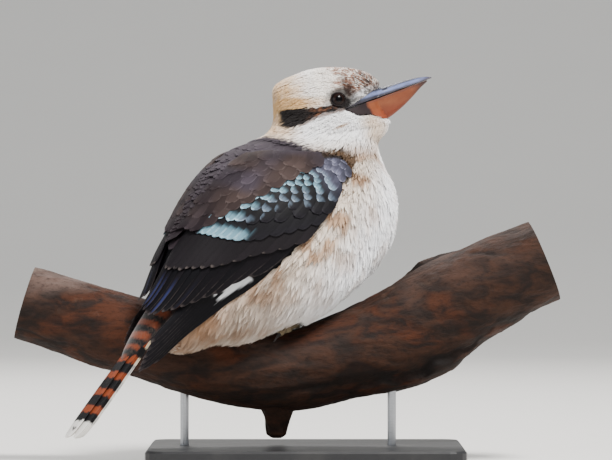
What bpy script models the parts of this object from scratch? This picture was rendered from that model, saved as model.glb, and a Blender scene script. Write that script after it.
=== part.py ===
# Laughing kookaburra on a cut length of branch, held by a plain display stand.
# Metres, +Z up. The origin is the middle of the base's underside, and the bird is seen from
# its right side along +Y: its head is in profile towards +X, its body is turned 35 degrees away.

import math
import random

import bmesh
import bpy
import numpy as np
from mathutils import Matrix

COLLECTION = "laughing_kookaburra"
GAP = 0.0003                      # left between pieces that touch
BLEND = 0.005                     # how softly the body's forms run into one another

FEET = np.array([-0.025, 0.0, 0.094])     # between the feet, on top of the perch
BODY_YAW = 35                             # degrees, the body's heading turned away from the viewer
HEAD_SIDE = 0.020                         # the head's middle plane, away from the viewer

# Forms of the body: centre forward, left and up from the feet; half length, width, depth; pitch.
BODY_FORMS = {
    "trunk": ((0.000, 0.000, 0.062), (0.084, 0.056, 0.055), 50),
    "breast": ((0.048, 0.000, 0.080), (0.052, 0.050, 0.048), 66),
    "belly": ((0.020, 0.000, 0.044), (0.058, 0.050, 0.031), 20),
    "flank_right": ((0.008, -0.024, 0.054), (0.056, 0.032, 0.042), 34),
    "flank_left": ((0.008, 0.024, 0.054), (0.056, 0.032, 0.042), 34),
    "mantle": ((-0.018, 0.000, 0.078), (0.058, 0.048, 0.0355), 46),
    "rump": ((-0.058, 0.000, 0.044), (0.046, 0.031, 0.025), 52),
    "vent": ((-0.046, 0.000, 0.021), (0.050, 0.029, 0.020), 40),
}
# Forms of the head and neck: centre right, away and up from the feet, in the head's own plane.
HEAD_FORMS = {
    "skull": ((0.033, HEAD_SIDE, 0.158), (0.030, 0.025, 0.0235), 10),
    "crown": ((0.057, HEAD_SIDE, 0.165), (0.021, 0.018, 0.0155), 2),
    "cheek": ((0.042, HEAD_SIDE, 0.142), (0.032, 0.025, 0.017), 10),
    "chin": ((0.068, HEAD_SIDE, 0.144), (0.015, 0.014, 0.009), 0),
    "neck": ((0.038, HEAD_SIDE, 0.124), (0.036, 0.030, 0.022), -14),
}

# Tail, measured from its base inside the rump, in the body's frame.
TAIL_BASE = (-0.0656, 0.0, 0.0456)
TAIL_PITCH = 49.5
TAIL_LENGTH = 0.153
TAIL_CUT = 0.040                  # where the tail's node meets the torso
TAIL_COVERT = ((0.045, 0.0, -0.001), (0.047, 0.0145, 0.0095))   # along, aside, above; half sizes
TAIL_ROOT_LINE = ((0.040, -0.010), (0.060, -0.006), (0.090, -0.001))   # its middle: along, above
TAIL_ROOT = 0.054                 # where its feathers start, inside the coverts
TAIL_HALF = 0.0046                # half the width of one feather
TAIL_STEP = 0.00085               # from each pair down to the next
TAIL_SPREAD = 0.00045             # and out to it
TAIL_SPLAY = 0.0008               # how much further out each feather is at its tip
TAIL_SHORTER = (0.0, 0.0004, 0.0009, 0.0016, 0.0026, 0.0040)    # how much each pair falls short

# Planes that part the head, neck and torso: a point right, away and up from the feet; a normal.
NECK_FOOT = ((0.038, HEAD_SIDE, 0.129), (0.22, 0.0, 0.975))
NECK_TOP = ((0.041, HEAD_SIDE, 0.142), (0.145, 0.0, 0.989))

# The wings lie on the body. A place on them is how far it is along a line through the body, from
# shoulder to wing tip, how far round that line from the spine, and its height over the body.
LINE_START = (0.034, 0.0, 0.112)
LINE_END = (-0.124, 0.0, -0.034)
WING_RADIUS = 0.047               # of the body under the wing, for lengths round it
WING_FAIRING = ((-0.082, 0.0, 0.005), (0.084, 0.020, 0.018), 43)
WING_BED = 0.0030                 # how deep the wings are bedded in the plumage
WING_HEADROOM = 0.0075            # over the body, above the mantle and under the tallest feathers
WING_END = 0.968
WING_ROWS, WING_COLUMNS = 13, 7   # of the grid that the wing's core and its bed share
CORE_ROWS = 8                     # the part of it that the core takes
SPINE_GAP = 0.35                  # degrees that each wing stops short of the spine
ROOM_GROWN = (0.0014, 0.35)       # how much wider the wing's bed is: along, and degrees round
WING_TUCK = {1: (0.0, 0.0), -1: (0.24, 0.24)}     # the left wing's tip: drawn in, and up to the spine
WING_FRONT = ((18, 0.17), (45, 0.09), (62, 0.030), (78, -0.014), (98, -0.006))   # around, along
WING_SPINE_SIDE = ((0.0, 17), (0.15, 16), (0.45, 1.0), (0.80, 1.0), (0.90, 50), (1.0, 76))
WING_LOWER_SIDE = ((0.0, 97), (0.1, 98), (0.5, 98), (0.62, 102), (0.84, 102), (0.96, 95), (1.0, 92))
MANTLE_ENDS = (0.03, 0.46)        # of the raised back between the wings
MANTLE_TOP = ((-0.02, 0.0), (0.05, 0.0015), (0.12, 0.0042), (0.20, 0.0060), (0.45, 0.0060))
MANTLE_SUNK = 0.004

# Feathers of a folded wing, in rows from the spine down to the belly. Quills of the arm lie on
# eight lines, that start between two places and end at the tips of the secondaries.
VANE_THICKNESS = 0.0005
VANE_WIDTHS = ((0.0, 0.45), (0.25, 0.85), (0.6, 1.0), (0.85, 0.95), (0.94, 0.70), (1.0, 0.28))
TIER = 0.0016                     # from one row of the arm up to the row that covers it
LINE_STARTS = ((0.40, 20), (0.12, 88))
LINE_HEIGHTS = (0.00250, 0.00235, 0.00220, 0.00205, 0.00190, 0.00170, 0.00150, 0.00125)
SECONDARY_TIPS = ((0.79, 6), (0.805, 18), (0.805, 30), (0.775, 44), (0.73, 58), (0.678, 71),
                  (0.617, 83), (0.545, 92))
GREATER_TIPS = (0.655, 0.652, 0.639, 0.618, 0.578, 0.517, 0.44, 0.36)
MEDIAN_TIPS = (0.53, 0.522, 0.506, 0.492, 0.471, 0.429, 0.357, 0.27)
MEDIAN_FIRST = 2                  # the first line whose median covert shows past the scapulars
ARM_ROOTS = (0.02, 0.10, 0.17)    # of each row of the arm, before the tips of the median coverts
MEDIAN_DIP = 0.0012
PRIMARY_STARTS = ((0.46, 66), (0.43, 93))
PRIMARY_TIPS = ((0.870, 61), (0.920, 70), (0.955, 79), (0.962, 87), (0.905, 94))
PRIMARY_HEIGHT = -0.00155         # of the outermost, and how much each inner one is higher
PRIMARY_STEP = 0.00036
# Tips of the last row of scapulars: along, around, and how far round a row further forward is.
SCAPULAR_TIPS = ((0.53, 11, 1), (0.51, 24, 2), (0.44, 37, 4), (0.36, 46, 4), (0.27, 53, 3),
                 (0.17, 60, 3))
SCAPULAR_ROWS = 4
SCAPULAR_STEP = 0.11
SCAPULAR_LENGTH = 0.17
SCAPULAR_RISE = 0.00125
SCAPULAR_DIP = 0.0006
# Height of the core over the quills' own, by how far along it is past the median coverts' tips.
CORE_EDGE = -0.0004               # height of its edge against the breast
CORE_DROP = 0.0012                # how much lower its last row is
CORE_TOP = ((-0.14, 0.0029), (-0.07, 0.0022), (-0.03, 0.0015), (0.0, 0.0010), (0.03, 0.0003),
            (0.06, -0.0005), (0.10, -0.0014), (0.14, -0.00175))
# Half width, tilt across, and places along it where its shape is set, of each kind of feather.
VANES = {
    "primary": (0.0055, 0.10, (0.0, 0.16, 0.34, 0.55, 0.77, 0.93, 1.0)),
    "secondary": (0.0064, 0.075, (0.0, 0.50, 0.89, 1.0)),
    "greater": (0.0065, 0.075, (0.0, 0.50, 0.89, 1.0)),
    "median": (0.0066, 0.075, (0.0, 0.45, 0.86, 1.0)),
    "scapular": (0.0078, 0.15, (0.0, 0.45, 0.86, 1.0)),
}

# Bill, along and above the closed edge of the mouth, from the gape to the tip.
GAPE = (0.0539, HEAD_SIDE, 0.1533)
BILL_PITCH = 20.6
BILL_BACK = -0.004                # where both halves start, inside the head
BILL_ARCH = (1.7, 2.2)            # how full the sections of the upper and the lower half are
BILL_HALF_WIDTH = ((-0.004, 0.0150), (0.0, 0.0155), (0.008, 0.0148), (0.020, 0.0118), (0.032, 0.0088),
                   (0.045, 0.0058), (0.056, 0.0031), (0.061, 0.0018), (0.0638, 0.0007))
CULMEN = ((-0.004, 0.0095), (0.010, 0.0088), (0.020, 0.0078), (0.0294, 0.0064), (0.040, 0.0055),
          (0.0477, 0.0048), (0.056, 0.0035), (0.061, 0.0020), (0.0638, 0.0007))
GONYS = ((-0.004, 0.0120), (0.010, 0.0155), (0.022, 0.0160), (0.036, 0.0122), (0.047, 0.0072),
         (0.055, 0.0030), (0.060, 0.0010))
NOSTRIL = (0.0300, 0.0040)        # along and above the mouth's edge
NOSTRIL_SIZE = (0.0024, 0.0009, 0.0007)

EYE = (0.0477, 0.1599)            # right and up from the feet
EYE_RADIUS = 0.0063
EYE_DEPTH = 0.0041                # its centre below the skin
LID_RADIUS = 0.0050
LID_THICKNESS = 0.0009

# Perch: right, up and radius along its middle.
PERCH_LINE = ((-0.197, 0.1110, 0.0255), (-0.144, 0.0955, 0.0265), (-0.100, 0.0810, 0.0270),
              (-0.050, 0.0675, 0.0285), (-0.012, 0.0645, 0.0290), (0.024, 0.0745, 0.0292),
              (0.066, 0.0895, 0.0318), (0.110, 0.1145, 0.0328), (0.140, 0.1300, 0.0312),
              (0.167, 0.1410, 0.0300))
PERCH_SIDES = 18
PERCH_RINGS = 26
# Plates of loose bark: from and to along it, from and to around it, and heights along its length.
BARK_PLATES = (
    ((0.044, 0.124), (-62, -14), (0.0008, 0.0018, 0.0026, 0.0052, 0.0040)),
    ((-0.008, 0.120), (146, 214), (0.0008, 0.0024, 0.0042, 0.0060, 0.0062, 0.0018)),
)
BARK_SUNK = 0.0025
STUB_PLACE = (-0.0205, 0.0300)    # the broken twig below: right, and its middle's height
STUB_RADII = (0.0125, 0.0065)
STUB_LENGTH = 0.026

# Feet, each by how far right its middle is and how far round the perch from its top.
FEET_PLACES = {"right": (-0.010, 17), "left": (-0.040, -16)}
TOES = {"inner": (28, 0.0150), "middle": (54, 0.0225), "outer": (80, 0.0190), "hind": (232, 0.0125)}
TOE_RADIUS = 0.0026
CLAW_LENGTH = 0.0085
CLAW_RADIUS = 0.0014

BASE_SIZE = (0.220, 0.150, 0.012)
BASE_ROUND = 0.012
ROD_RADIUS = 0.003
ROD_PLACES = {"left": -0.085, "right": 0.060}
ROD_BED = 0.007                   # how deep the rods go into the base and the perch


# Frames

def turn(yaw, pitch):
    """Columns: forward, left and up of a form turned by yaw and tipped up by pitch, in degrees."""
    yaw, pitch = math.radians(yaw), math.radians(pitch)
    forward = np.array([math.cos(pitch) * math.cos(yaw), math.cos(pitch) * math.sin(yaw), math.sin(pitch)])
    left = np.array([-math.sin(yaw), math.cos(yaw), 0.0])
    return np.stack([forward, left, np.cross(forward, left)], axis=1)


BODY = turn(BODY_YAW, 0)


def on_body(place):
    """World point of a place given forward, left and up in the body's frame."""
    return FEET + np.asarray(place, float) @ BODY.T


def tail_axes():
    """Columns: along the tail to its tip, aside to the bird's right, and out of its upper face."""
    frame = turn(BODY_YAW, TAIL_PITCH)
    return np.stack([-frame[:, 0], -frame[:, 1], frame[:, 2]], axis=1)


TAIL = tail_axes()


def on_tail(along, aside, above):
    """World points by their place along the tail, aside to the bird's right, and above it."""
    local = np.stack(np.broadcast_arrays(along, aside, above), axis=-1)
    return on_body(TAIL_BASE) + local @ TAIL.T


def body_forms():
    """Centre, axes and half sizes of each rounded form that makes up the living shape."""
    forms = [(on_body(centre), turn(BODY_YAW, pitch), np.array(radii))
             for centre, radii, pitch in BODY_FORMS.values()]
    forms += [(FEET + np.array(centre), turn(0, pitch), np.array(radii))
              for centre, radii, pitch in HEAD_FORMS.values()]
    centre, radii = TAIL_COVERT
    forms.append((on_tail(*centre), TAIL, np.array(radii)))
    return forms


FORMS = body_forms()
LINE_LENGTH = math.dist(LINE_START, LINE_END)
FAIRING = (on_body(WING_FAIRING[0]), turn(BODY_YAW, WING_FAIRING[2]), np.array(WING_FAIRING[1]))
WING_FORMS = FORMS + [FAIRING]


# Surfaces

def surface_value(points, forms):
    """Below zero inside the blended forms, and about the distance from them outside."""
    total = np.zeros(len(points))
    for centre, axes, radii in forms:
        local = (points - centre) @ axes
        ratio = np.linalg.norm(local / radii, axis=1)
        steepness = np.linalg.norm(local / radii ** 2, axis=1)
        total += np.exp(-ratio * (ratio - 1) / np.maximum(steepness, 1e-9) / BLEND)
    return -BLEND * np.log(total)


def reach(origins, directions, forms, level=0.0, limit=0.24):
    """How far each ray runs before it first leaves the surface of that level."""
    level = np.broadcast_to(level, len(origins))
    steps = np.linspace(0, limit, 81)
    walk = origins[:, None] + directions[:, None] * steps[None, :, None]
    values = surface_value(walk.reshape(-1, 3), forms).reshape(len(origins), -1)
    first = np.maximum(np.argmax(values > level[:, None], axis=1), 1)
    low, high = steps[first - 1], steps[first]
    for _ in range(22):
        middle = (low + high) / 2
        inside = surface_value(origins + directions * middle[:, None], forms) < level
        low = np.where(inside, middle, low)
        high = np.where(inside, high, middle)
    return (low + high) / 2


def slope(point, forms):
    """Outward direction of the blended surface at a point."""
    step = 0.0002
    offsets = np.eye(3) * step
    ahead = surface_value(point + offsets, forms)
    behind = surface_value(point - offsets, forms)
    return (ahead - behind) / np.linalg.norm(ahead - behind)


def on_wing(along, around, height, side):
    """World points over the body, by their place along and round its line; side 1 is right, -1 left."""
    along, around, height = np.broadcast_arrays(along, around, height)
    shape = along.shape
    shorter, nearer = WING_TUCK[side]
    around = around * (1 - nearer * np.clip((along - 0.5) / 0.35, 0, 1))
    along = along - shorter * np.maximum(along - 0.6, 0)
    start, end = np.array(LINE_START), np.array(LINE_END)
    line = (end - start) / LINE_LENGTH
    spine_way = np.array([line[2], 0.0, -line[0]])
    side_way = np.array([0.0, -1.0, 0.0])
    origins = on_body(start + along.reshape(-1, 1) * (end - start))
    angle = np.radians(around.reshape(-1, 1)) * side
    directions = (np.cos(angle) * spine_way + np.sin(angle) * side_way) @ BODY.T
    distance = reach(origins, directions, WING_FORMS, height.reshape(-1))
    return (origins + directions * distance[:, None]).reshape(*shape, 3)


def profile(pairs, value):
    xs, ys = zip(*pairs)
    return np.interp(value, xs, ys)


def smooth_profile(pairs, value):
    """A smooth curve through the pairs, by cubic pieces that share their slopes."""
    table = np.array(pairs, float)
    xs, ys = table[:, 0], table[:, 1:]
    slopes = np.gradient(ys, xs, axis=0)
    value = np.atleast_1d(value)
    index = np.clip(np.searchsorted(xs, value) - 1, 0, len(xs) - 2)
    width = xs[index + 1] - xs[index]
    t = ((value - xs[index]) / width)[:, None]
    width = width[:, None]
    return ((1 + 2 * t) * (1 - t) ** 2 * ys[index] + t * (1 - t) ** 2 * width * slopes[index]
            + t * t * (3 - 2 * t) * ys[index + 1] + t * t * (t - 1) * width * slopes[index + 1])


# Meshes

def material(name, colour, roughness, metallic=0.0):
    made = bpy.data.materials.get(name)
    if made is None:
        made = bpy.data.materials.new(name)
        made.use_nodes = True
        shader = made.node_tree.nodes["Principled BSDF"]
        shader.inputs["Base Color"].default_value = (*colour, 1.0)
        shader.inputs["Roughness"].default_value = roughness
        shader.inputs["Metallic"].default_value = metallic
        made.diffuse_color = (*colour, 1.0)
    return made


def new_object(name, mesh, finish, collection):
    mesh.name = name
    obj = bpy.data.objects.new(name, mesh)
    obj.data.materials.append(finish)
    collection.objects.link(obj)
    return obj


def from_bmesh(name, bm, finish, collection):
    bmesh.ops.recalc_face_normals(bm, faces=bm.faces)
    mesh = bpy.data.meshes.new(name)
    bm.to_mesh(mesh)
    bm.free()
    return new_object(name, mesh, finish, collection)


def from_points(name, points, faces, finish, collection):
    bm = bmesh.new()
    verts = [bm.verts.new(point) for point in points]
    for face in faces:
        bm.faces.new([verts[i] for i in face])
    return from_bmesh(name, bm, finish, collection)


def sheet(name, top, bottom, finish, collection):
    """A closed sheet between two grids of points, split into triangles alike on both faces."""
    rows, columns = top.shape[:2]
    count = rows * columns
    points = np.concatenate([top.reshape(-1, 3), bottom.reshape(-1, 3)])
    faces = []
    for i in range(rows - 1):
        for j in range(columns - 1):
            a, b = i * columns + j, (i + 1) * columns + j
            c, d = b + 1, a + 1
            faces += [(a, b, c), (a, c, d)]
            faces += [(count + a, count + c, count + b), (count + a, count + d, count + c)]
    rim = [i * columns for i in range(rows)] + [(rows - 1) * columns + j for j in range(1, columns)]
    rim += [i * columns + columns - 1 for i in range(rows - 2, -1, -1)] + list(range(columns - 2, 0, -1))
    for a, b in zip(rim, rim[1:] + rim[:1]):
        faces += [(a, count + a, count + b), (a, count + b, b)]
    return from_points(name, points, faces, finish, collection)


def loft(name, rings, finish, collection):
    """A closed skin of triangles over rings of points, flat at both ends."""
    size = len(rings[0])
    points = np.concatenate(rings)
    faces = []
    for r in range(len(rings) - 1):
        for j in range(size):
            k = (j + 1) % size
            a, b, c, d = r * size + j, r * size + k, (r + 1) * size + k, (r + 1) * size + j
            faces += [(a, b, c), (a, c, d)]
    faces.append(tuple(reversed(range(size))))
    faces.append(tuple(range((len(rings) - 1) * size, len(rings) * size)))
    return from_points(name, points, faces, finish, collection)


def cast_ball(name, centre, pole, segments, rings, forms, finish, collection):
    """A sphere whose points are pushed out to the blended surface."""
    bm = bmesh.new()
    bmesh.ops.create_uvsphere(bm, u_segments=segments, v_segments=rings, radius=1.0)
    side = np.cross(pole, (0.3, 0.9, 0.1))
    side /= np.linalg.norm(side)
    axes = np.stack([side, np.cross(pole, side), pole])
    directions = np.array([v.co[:] for v in bm.verts]) @ axes
    distance = reach(np.tile(centre, (len(directions), 1)), directions, forms)
    for vert, point in zip(bm.verts, centre + directions * distance[:, None]):
        vert.co = point
    return from_bmesh(name, bm, finish, collection)


def trim(obj, point, normal):
    """Cuts off what lies on the normal's side of a plane and closes the cut."""
    bm = bmesh.new()
    bm.from_mesh(obj.data)
    geometry = bm.verts[:] + bm.edges[:] + bm.faces[:]
    bmesh.ops.bisect_plane(bm, geom=geometry, plane_co=point, plane_no=normal, clear_outer=True)
    bmesh.ops.edgeloop_fill(bm, edges=[edge for edge in bm.edges if edge.is_boundary])
    bmesh.ops.recalc_face_normals(bm, faces=bm.faces)
    bm.to_mesh(obj.data)
    bm.free()


def largest_surface(obj):
    """Keeps only the largest closed surface of an object."""
    bm = bmesh.new()
    bm.from_mesh(obj.data)
    waiting = set(bm.faces)
    islands = []
    while waiting:
        front = [waiting.pop()]
        island = list(front)
        while front:
            face = front.pop()
            for edge in face.edges:
                for other in edge.link_faces:
                    if other in waiting:
                        waiting.remove(other)
                        front.append(other)
                        island.append(other)
        islands.append(island)
    islands.sort(key=len)
    for island in islands[:-1]:
        bmesh.ops.delete(bm, geom=island, context="FACES")
    bm.to_mesh(obj.data)
    bm.free()


def combine(obj, others, operation, solver="EXACT"):
    """Joins an object with others, or cuts them from it, and removes the others."""
    group = bpy.data.collections.new("combining")
    bpy.context.scene.collection.children.link(group)
    for other in others:
        group.objects.link(other)
    modifier = obj.modifiers.new(operation.lower(), "BOOLEAN")
    modifier.operation = operation
    modifier.solver = solver
    modifier.operand_type = "COLLECTION"
    modifier.collection = group
    bpy.context.view_layer.update()
    graph = bpy.context.evaluated_depsgraph_get()
    mesh = bpy.data.meshes.new_from_object(obj.evaluated_get(graph))
    obj.modifiers.clear()
    obj.data = mesh
    mesh.name = obj.name
    for other in others:
        bpy.data.objects.remove(other)
    bpy.data.collections.remove(group)
    largest_surface(obj)


def smooth(obj, angle=40):
    obj.data.shade_smooth()
    obj.data.set_sharp_from_angle(angle=math.radians(angle))


# Perch

def perch_frame(share):
    """Middle, radius, way along and way up of the perch at a share of its length."""
    share = np.atleast_1d(share)
    xs = PERCH_LINE[0][0] + share * (PERCH_LINE[-1][0] - PERCH_LINE[0][0])
    height, radius = smooth_profile(PERCH_LINE, xs).T
    ahead = smooth_profile(PERCH_LINE, xs + 0.002)[:, 0]
    behind = smooth_profile(PERCH_LINE, xs - 0.002)[:, 0]
    wander = 0.003 * np.sin(xs * 21)
    middle = np.stack([xs, wander, height], axis=1)
    way = np.stack([np.full_like(xs, 0.004), np.zeros_like(xs), ahead - behind], axis=1)
    way /= np.linalg.norm(way, axis=1)[:, None]
    up = np.stack([-way[:, 2], np.zeros_like(xs), way[:, 0]], axis=1)
    return middle, radius, way, up


def on_perch(share, around, height):
    """World points over the perch's bark; around is from its top towards the viewer, in degrees."""
    share, around, height = np.broadcast_arrays(share, around, height)
    shape = share.shape
    share, around, height = share.ravel(), np.radians(around.ravel()), height.ravel()
    middle, radius, _, up = perch_frame(share)
    swell = 1 + 0.035 * np.sin(2 * around + 11 * share) + 0.020 * np.sin(3 * around - 17 * share + 1)
    swell += 0.012 * np.sin(5 * around + 41 * share) * (1 - np.exp(-((share - 0.46) / 0.12) ** 2))
    outward = up * np.cos(around)[:, None] - np.array([0.0, 1.0, 0.0]) * np.sin(around)[:, None]
    return (middle + outward * (radius * swell + height)[:, None]).reshape(*shape, 3)


def perch_share(right):
    return (right - PERCH_LINE[0][0]) / (PERCH_LINE[-1][0] - PERCH_LINE[0][0])


def perch_skin(name, extra, finish, collection):
    """The branch as a loft, extra thicker all round and at its ends."""
    shares = np.linspace(0, 1, PERCH_RINGS)
    around = np.linspace(0, 360, PERCH_SIDES, endpoint=False)
    rings = [on_perch(share, around, extra) for share in shares]
    way = perch_frame(np.array([0.0, 1.0]))[2]
    rings[0] = rings[0] - way[0] * extra
    rings[-1] = rings[-1] + way[1] * extra
    return loft(name, rings, finish, collection)


def bark_plate(ends, sides, heights, finish, collection):
    """A plate of loose bark, its edges thin and its middle raised over the branch."""
    share = perch_share(np.linspace(*ends, len(heights) + 2))[:, None]
    around = np.linspace(*sides, 5)[None]
    lift = np.concatenate([[0.0], heights, [0.0]])[:, None] * np.array([[0.3, 0.85, 1.0, 0.85, 0.3]])
    around = around + 7 * np.sin(share * 31) * np.array([[1.0, 0.4, 0.0, -0.4, -1.0]])
    top = on_perch(share, around, np.maximum(lift, 0.0004))
    return sheet("bark_plate", top, on_perch(share, around, -BARK_SUNK), finish, collection)


def make_perch(finish, collection):
    branch = perch_skin("perch_branch", 0.0, finish, collection)
    bm = bmesh.new()
    bmesh.ops.create_cone(bm, cap_ends=True, segments=14, radius1=STUB_RADII[1], radius2=STUB_RADII[0],
                          depth=STUB_LENGTH, matrix=Matrix.Translation((STUB_PLACE[0], 0.0, STUB_PLACE[1])))
    stub = from_bmesh("stub", bm, finish, collection)
    plates = [bark_plate(*plate, finish, collection) for plate in BARK_PLATES]
    combine(branch, [stub] + plates, "UNION")
    return branch


def rod(name, place, extra, finish, collection):
    """A standing rod from inside the base up into the perch, or the room that it needs."""
    share = perch_share(place)
    underside = on_perch(share, 180.0, 0.0)
    low, high = BASE_SIZE[2] - ROD_BED - extra, float(underside[2]) + ROD_BED + extra
    radius = ROD_RADIUS + extra
    bm = bmesh.new()
    bmesh.ops.create_cone(bm, cap_ends=True, segments=16, radius1=radius, radius2=radius,
                          depth=high - low, matrix=Matrix.Translation((place, 0.0, (low + high) / 2)))
    return from_bmesh(name, bm, finish, collection)


def make_stand(branch, black, steel, collection):
    bm = bmesh.new()
    size = Matrix.Diagonal((*BASE_SIZE, 1.0))
    bmesh.ops.create_cube(bm, size=1.0, matrix=Matrix.Translation((0, 0, BASE_SIZE[2] / 2)) @ size)
    corners = [edge for edge in bm.edges if abs(edge.verts[0].co.z - edge.verts[1].co.z) > BASE_SIZE[2] / 2]
    bmesh.ops.bevel(bm, geom=corners, offset=BASE_ROUND, segments=4, affect="EDGES", profile=0.5)
    top = [edge for edge in bm.edges if min(v.co.z for v in edge.verts) > BASE_SIZE[2] - 0.0001]
    bmesh.ops.bevel(bm, geom=top, offset=0.0015, segments=1, affect="EDGES", profile=0.5)
    base = from_bmesh("stand_base", bm, black, collection)
    for name, place in ROD_PLACES.items():
        bores = [rod("bore", place, GAP, steel, collection) for _ in range(2)]
        combine(base, bores[:1], "DIFFERENCE")
        combine(branch, bores[1:], "DIFFERENCE")
        rod("stand_rod_" + name, place, 0.0, steel, collection)


# Bill and head

def on_bill(along, aside, above):
    """World points by their place along the mouth's edge, aside to the bird's left, and above it."""
    frame = turn(0, BILL_PITCH)
    along, aside, above = np.broadcast_arrays(along, aside, above)
    local = np.stack([along, aside, above], axis=-1)
    return FEET + np.array(GAPE) + local @ frame.T


def upper_ring(along, extra, floor):
    """Section of the upper bill: a rounded ridge over a flat floor."""
    half, ridge = profile(BILL_HALF_WIDTH, along) + extra, profile(CULMEN, along) + extra
    across = np.sin(np.linspace(-math.pi / 2, math.pi / 2, 11))
    top = ridge * (1 - np.abs(across) ** BILL_ARCH[0])
    arc = on_bill(along, half * across, np.maximum(top, floor + 0.00015))
    return np.concatenate([arc, on_bill(along, half * np.array([0.6, 0.0, -0.6]), floor)])


def lower_ring(along, extra, ceiling):
    """Section of the lower bill: a deep rounded keel under a flat ceiling."""
    half, keel = profile(BILL_HALF_WIDTH, along) * 0.94 + extra, profile(GONYS, along) + extra
    across = np.sin(np.linspace(-math.pi / 2, math.pi / 2, 11))
    bottom = -keel * (1 - np.abs(across) ** BILL_ARCH[1])
    arc = on_bill(along, half * across, np.minimum(bottom, ceiling - 0.00015))
    return np.concatenate([arc, on_bill(along, half * np.array([0.6, 0.0, -0.6]), ceiling)])


def make_bill(slate, horn, collection):
    lengths = (BILL_BACK, 0.004, 0.012, 0.020, 0.028, 0.036, 0.044, 0.051, 0.057, 0.061, 0.0638)
    upper = loft("bill_upper", [upper_ring(x, 0.0, GAP / 2) for x in lengths], slate, collection)
    lengths = (BILL_BACK, 0.006, 0.014, 0.022, 0.029, 0.036, 0.043, 0.049, 0.054, 0.0575, 0.060)
    loft("bill_lower", [lower_ring(x, 0.0, -GAP / 2) for x in lengths], horn, collection)
    slits = []
    for side in (-1, 1):
        bm = bmesh.new()
        bmesh.ops.create_icosphere(bm, subdivisions=2, radius=1.0)
        half = float(profile(BILL_HALF_WIDTH, NOSTRIL[0]))
        height = profile(CULMEN, NOSTRIL[0])
        aside = half * (1 - NOSTRIL[1] / height) ** (1 / BILL_ARCH[0])
        centre = on_bill(NOSTRIL[0], side * aside, NOSTRIL[1])
        frame = turn(0, BILL_PITCH + 4)
        for vert in bm.verts:
            local = np.array(vert.co[:]) * NOSTRIL_SIZE
            vert.co = centre + frame @ local
        slits.append(from_bmesh("slit", bm, slate, collection))
    combine(upper, slits, "DIFFERENCE")


def bill_room(finish, collection):
    """The two halves of the bill a gap larger, as cutters that run into one another."""
    lengths = np.linspace(BILL_BACK - GAP, 0.05, 9)
    upper = [upper_ring(x, GAP, -4 * GAP) for x in lengths]
    lower = [lower_ring(x, GAP, GAP / 2) for x in lengths]
    return [loft("upper_room", upper, finish, collection), loft("lower_room", lower, finish, collection)]


def eye_place(side):
    """Centre of an eye and the way it looks; side 1 is right, -1 left."""
    middle = FEET + np.array([EYE[0], HEAD_SIDE, EYE[1]])
    way = np.array([0.0, -1.0, 0.0]) * side
    distance = reach(middle[None], way[None], FORMS)[0]
    skin = middle + way * distance
    outward = slope(skin, FORMS)
    return skin - outward * EYE_DEPTH, outward, skin


def ball(name, centre, radius, finish, collection, segments=14, rings=8):
    bm = bmesh.new()
    bmesh.ops.create_uvsphere(bm, u_segments=segments, v_segments=rings, radius=radius,
                              matrix=Matrix.Translation(centre))
    return from_bmesh(name, bm, finish, collection)


def lid_ring(centre, outward, finish, collection):
    """A raised ring of lids round an eye, a little longer from front to back."""
    angles = np.linspace(0, 2 * math.pi, 16, endpoint=False)
    front = np.cross(outward, (0.0, 0.0, 1.0))
    front /= np.linalg.norm(front)
    up = np.cross(front, outward)
    points, faces, sides = [], [], 5
    for angle in angles:
        spoke = front * math.cos(angle) * 1.12 + up * math.sin(angle)
        for j in range(sides):
            bend = 2 * math.pi * j / sides
            points.append(centre + spoke * (LID_RADIUS + LID_THICKNESS * math.cos(bend))
                          + outward * LID_THICKNESS * math.sin(bend))
    for i in range(len(angles)):
        for j in range(sides):
            k, n = (j + 1) % sides, ((i + 1) % len(angles)) * sides
            faces.append((i * sides + j, i * sides + k, n + k, n + j))
    return from_points("lids", points, faces, finish, collection)


def make_head(plumage, collection):
    centre = FEET + np.array([0.040, HEAD_SIDE, 0.156])
    head = cast_ball("head", centre, np.array([1.0, 0.0, 0.0]), 38, 24, FORMS, plumage, collection)
    point, normal = FEET + np.array(NECK_TOP[0]), np.array(NECK_TOP[1])
    normal /= np.linalg.norm(normal)
    trim(head, point + normal * GAP / 2, -normal)
    lids, rooms = [], bill_room(plumage, collection)
    for side in (1, -1):
        middle, outward, skin = eye_place(side)
        lids.append(lid_ring(skin, outward, plumage, collection))
        rooms.append(ball("socket", middle, EYE_RADIUS + GAP, plumage, collection, 14, 9))
    combine(head, lids, "UNION")
    combine(head, rooms, "DIFFERENCE")
    return head


def make_eyes(finish, collection):
    for name, side in (("eye_right", 1), ("eye_left", -1)):
        ball(name, eye_place(side)[0], EYE_RADIUS, finish, collection)


def section(centre, normal, count, forms):
    """Points round a plane's cut through the blended surface."""
    side = np.cross(normal, (0.0, 1.0, 0.0))
    side /= np.linalg.norm(side)
    other = np.cross(normal, side)
    angles = np.linspace(0, 2 * math.pi, count, endpoint=False)[:, None]
    directions = np.cos(angles) * side + np.sin(angles) * other
    origins = np.tile(centre, (count, 1))
    return origins + directions * reach(origins, directions, forms)[:, None]


def make_neck(plumage, collection):
    low, low_way = FEET + np.array(NECK_FOOT[0]), np.array(NECK_FOOT[1])
    high, high_way = FEET + np.array(NECK_TOP[0]), np.array(NECK_TOP[1])
    rings = []
    for share in np.linspace(0, 1, 5):
        way = low_way * (1 - share) + high_way * share
        way /= np.linalg.norm(way)
        shift = GAP / 2 * (1 - 2 * share)
        rings.append(section(low * (1 - share) + high * share + way * shift, way, 36, FORMS))
    loft("neck", rings, plumage, collection)


# Wings and back

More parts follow.
